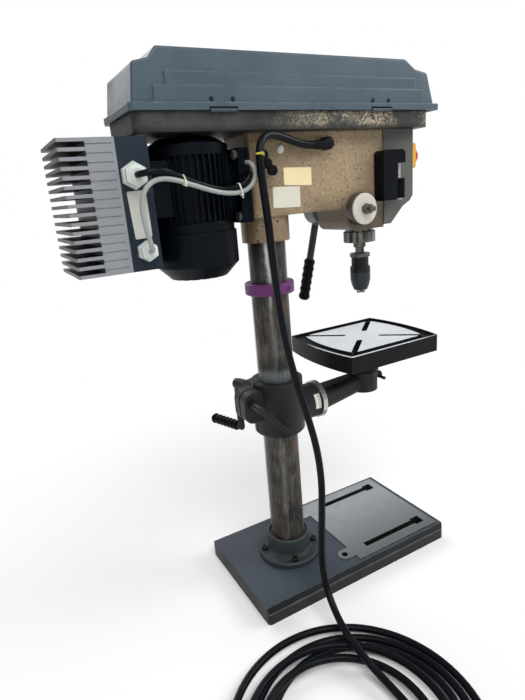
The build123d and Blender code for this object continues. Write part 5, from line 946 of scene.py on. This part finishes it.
# Painted shade: the slots between the fins and the fin tips are darkened.
from_side = calc(tree, "SUBTRACT", sink_high.x, calc(tree, "ABSOLUTE", place["X"]))
finned = calc(tree, "GREATER_THAN", place["Y"], sink_high.y - FIN_REACH)
slot_shade = times(tree, ramp(tree, from_side, *SLOT_SHADE_FADE), finned)
shaded_tips = ramp(tree, place["Y"], sink_high.y - SHADED_TIP_FROM, sink_high.y - SHADED_TIP_TO)
lines = noise(tree, mapped(tree, spot, Scale=(6.0, 500.0, 500.0)))
film = blotches(tree, spot, size=14.0, low=0.4, high=0.75)
edges = use_effect(tree, rubbed_and_highlit_edges, Vector=spot, Radius=0.0006)
shade = layered(
    tree, (146, 149, 154), (film, 0.3, (122, 124, 127)), (slot_shade, 0.8, (52, 53, 53)), (shaded_tips, 0.8, (84, 87, 86))
)
set_inputs(tree, shader, Base_Color=shade, Metallic=0.35, Roughness=between(tree, film, 0.4, 0.55))
roughen(tree, shader, lines, 0.0001, edges["Normal"])
dress(sink_alloy, "heat_sink")

dress(moulding("pale gland plastic", (208, 217, 211), (158, 162, 152), rough=0.3), "cable_glands")
RATING_CORNERS = [(0.2635, 0.8095), (0.2350, 0.8105), (0.2340, 0.7425), (0.2600, 0.7410)]
label_film = moulding("grey label film", (196, 196, 190), (150, 148, 140), rough=0.4, dust=0.4)
inverter_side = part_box("inverter_box")[0].x
rating_label = paper_label("inverter_blank_label", RATING_CORNERS, inverter_side, label_film)
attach(rating_label, "motor")


# Inverter leads: a grey control lead and a black power lead, tied together along the motor, from
# the glands to the edge of the motor plate.

def smooth_lead(name, points, diameter, finish):
    """Round lead on one smooth line through its route."""
    line = bpy.data.curves.new(name, "CURVE")
    line.dimensions = "3D"
    line.bevel_depth = diameter / 2
    line.bevel_resolution = 5
    line.resolution_u = 6
    line.use_fill_caps = True
    spline = line.splines.new("NURBS")
    spline.points.add(len(points) - 1)
    for place, point in zip(spline.points, points):
        place.co = (*point, 1.0)
    spline.order_u = 3
    spline.use_endpoint_u = True
    lead = bpy.data.objects.new(name, line)
    scene.collection.objects.link(lead)
    line.materials.append(finish)
    return lead


def steps_from(start, steps):
    """Route points given in millimetres from a starting point."""
    return [tuple(Vector(start) + Vector(step) / 1000) for step in steps]


TIE_WIDTH = 0.0028
TIE_THICK = 0.0009
TIE_SLACK = 0.0001
TIE_SIDES = 32
LOCK_SIZE, LOCK_AWAY = (0.0034, 0.0048, 0.0044), 0.0013
TAIL_SIZE, TAIL_AWAY = (0.0042, 0.0008, 0.0026), 0.0046
LOCK_ROUNDING = 0.0003


def cable_tie(name, ahead, held, finish):
    """Nylon tie drawn round leads, given as (centre, radius), with its lock and cut tail."""
    middle = sum((Vector(place) for place, radius in held), Vector()) / len(held)
    spine = Vector(ahead).normalized()
    side = (Vector(held[-1][0]) - Vector(held[0][0])) if len(held) > 1 else Vector((1, 0, 0))
    side = (side - side.dot(spine) * spine).normalized()
    over = spine.cross(side)
    round_leads = []
    for place, radius in held:
        offset = Vector(place) - middle
        grip = radius + TIE_SLACK
        for k in range(TIE_SIDES):
            a = math.tau * k / TIE_SIDES
            sideways = offset.dot(side) + grip * math.cos(a)
            round_leads.append(Vector((sideways, offset.dot(over) + grip * math.sin(a))))
    loop = [round_leads[k] for k in convex_hull_2d(round_leads)]
    shape = bmesh.new()
    rows = []
    for k, here in enumerate(loop):
        run = loop[(k + 1) % len(loop)] - loop[k - 1]
        outward = Vector((run.y, -run.x)).normalized()
        if outward.dot(here) < 0:
            outward.negate()
        row = []
        for rise, lengthwise in ((0, -0.5), (0, 0.5), (TIE_THICK, 0.5), (TIE_THICK, -0.5)):
            spot = here + rise * outward
            row.append(shape.verts.new((spot.x, spot.y, lengthwise * TIE_WIDTH)))
        rows.append(row)
    join_rows(shape, rows + rows[:1])
    low = min(loop, key=lambda spot: spot.x)
    for size, away in ((LOCK_SIZE, LOCK_AWAY), (TAIL_SIZE, TAIL_AWAY)):
        place = Matrix.Translation((low.x - away, low.y, 0)) @ Matrix.Diagonal((*size, 1))
        block = bmesh.ops.create_cube(shape, size=1.0, matrix=place)["verts"]
        borders = list({border for corner in block for border in corner.link_edges})
        bmesh.ops.bevel(shape, geom=borders, offset=LOCK_ROUNDING, segments=2, affect="EDGES")
    stand = Matrix((side, over, spine)).transposed().to_4x4()
    bmesh.ops.transform(shape, matrix=Matrix.Translation(middle) @ stand, verts=shape.verts)
    return finished_piece(name, shape, finish)


black_rubber = moulding(
    "black sheath rubber", (8, 12, 17), (22, 26, 31), rough=0.3, shine=0.12, grain=900.0, dust=0.15
)
grey_rubber = moulding("grey sheath rubber", (152, 157, 153), (110, 112, 106), rough=0.34, grain=900.0)
tie_nylon = moulding("pale tie nylon", (206, 208, 188), (160, 156, 134), rough=0.35)

CONTROL_DIAMETER = 0.0072
POWER_DIAMETER = 0.0092
CONTROL_GLAND = (-0.093, 0.246, 0.723)
POWER_GLAND = (-0.093, 0.250, 0.831)
PLATE_EDGE = (-0.066, 0.062, 0.864)
control_route = steps_from(CONTROL_GLAND, [
    (0, 0, 0), (-12, 0, 0), (-20, 5, 14), (-21, 10, 41), (-21, 11, 69), (-20, 1, 91), (-18, -20, 101),
    (-15, -47, 97), (-10, -72, 89),
]) + steps_from(PLATE_EDGE, [
    (-27, 66, -66), (-21, 34, -69), (-19, 15, -66), (-19.5, 2, -57), (-20, -5, -44), (-18.5, -3, -31),
    (-10, 0, -23), (0, 0, -23),
])
power_route = steps_from(POWER_GLAND, [
    (0, 0, 0), (-14, 0, 0), (-21.5, -14, 2), (-19, -36, 2.5), (-4, -58, -6), (1, -90, -18),
]) + steps_from(PLATE_EDGE, [
    (-17, 58, -62), (-15.5, 34, -61.5), (-18, 16, -56), (-17, 5, -45), (-10, 0, -39), (0, 0, -39),
])


def midway(route, k):
    """Middle of one run of a route, which the smooth line touches, and the way it points there."""
    here, after = Vector(route[k]), Vector(route[k + 1])
    return (here + after) / 2, after - here


for name, control_run, power_run in (("upper_lead_tie", 7, 4), ("lower_lead_tie", 10, 7)):
    control_spot, ahead = midway(control_route, control_run)
    power_spot = midway(power_route, power_run)[0]
    power_spot -= (power_spot - control_spot).dot(ahead.normalized()) * ahead.normalized()
    held = [(control_spot, CONTROL_DIAMETER / 2), (power_spot, POWER_DIAMETER / 2)]
    tie = cable_tie(name, ahead, held, tie_nylon)
    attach(tie, "motor")

control_lead = smooth_lead("control_lead_sheath", control_route, CONTROL_DIAMETER, grey_rubber)
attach(control_lead, "motor")
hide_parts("control_lead")
power_lead = smooth_lead("power_lead_sheath", power_route, POWER_DIAMETER, black_rubber)
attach(power_lead, "motor")
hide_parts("power_lead")


# Mains lead: rubber sheathed, out of its boot on the head, down beside the column and into loose
# loops on the floor that end in a moulded plug. A yellow tie holds it near the top.

dress(black_rubber, "cable_boot")
dress(black_moulding, "mains_plug")

MAINS_DIAMETER = 0.013
COIL_X = -0.385
COIL_Y = 0.120
COIL_HIGH_Z = 0.0203
COIL_LOW_Z = 0.0067
POINTS_PER_HALF = 8
UPPER_REACHES = (-0.084, 0.150, -0.112, 0.172, -0.140, 0.194)
LOWER_REACHES = (-0.196, 0.160, -0.180, 0.130, -0.164, 0.070)
hang = steps_from((0, 0, 0), [
    (-62, -76, 864), (-62, -58, 864), (-64, -34, 869.5), (-70, -8, 876.5), (-77.5, 18, 880.5), (-85, 38, 877),
    (-92, 50, 862), (-95.5, 54, 838), (-97, 52, 800), (-99, 48.5, 745), (-101, 47, 690), (-103.5, 44, 625),
    (-110, 40, 550), (-120, 31, 482), (-131, 18, 414), (-140, 6, 345), (-146, 3, 278), (-150, 10, 206),
    (-155, 18, 146), (-160, 21, 100), (-178, 25, 65), (-210, 31, 44), (-250, 39.5, 37.9), (-284, 43.5, 37.9),
    (-310, 42.5, 31.9), (-334, 38.5, 23.5), (-356, 36, 20.3), (-372, 36, 20.3),
])
spots = [Vector((COIL_X, COIL_Y + reach, COIL_HIGH_Z)) for reach in UPPER_REACHES]
spots += [Vector((COIL_X, COIL_Y + reach, COIL_LOW_Z)) for reach in LOWER_REACHES]
loops = []
bulge = 1 / math.cos(math.pi / (2 * POINTS_PER_HALF))
for k, (start, end) in enumerate(zip(spots, spots[1:])):
    side = -1 if k % 2 == 0 else 1
    middle = (start + end) / 2
    arm = start - middle
    across = Vector((side * arm.length, 0, 0))
    for step in range(POINTS_PER_HALF):
        angle = math.pi * (step + 0.5) / POINTS_PER_HALF
        loops.append(tuple(middle + bulge * (math.cos(angle) * arm + math.sin(angle) * across)))
mains_route = hang + loops + [tuple(spots[-1] + Vector((MAINS_DIAMETER, 0, 0)))]

TIED_RUN = 6
yellow_nylon = moulding("yellow tie nylon", (206, 198, 74), (160, 148, 60), rough=0.4)
tie_spot, ahead = midway(hang, TIED_RUN)
yellow_tie = cable_tie("mains_lead_tie", ahead, [(tie_spot, MAINS_DIAMETER / 2)], yellow_nylon)
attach(yellow_tie, "machine")

mains_lead = smooth_lead("mains_lead_sheath", mains_route, MAINS_DIAMETER, black_rubber)
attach(mains_lead, "machine")
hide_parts("mains_lead", "mains_coil")
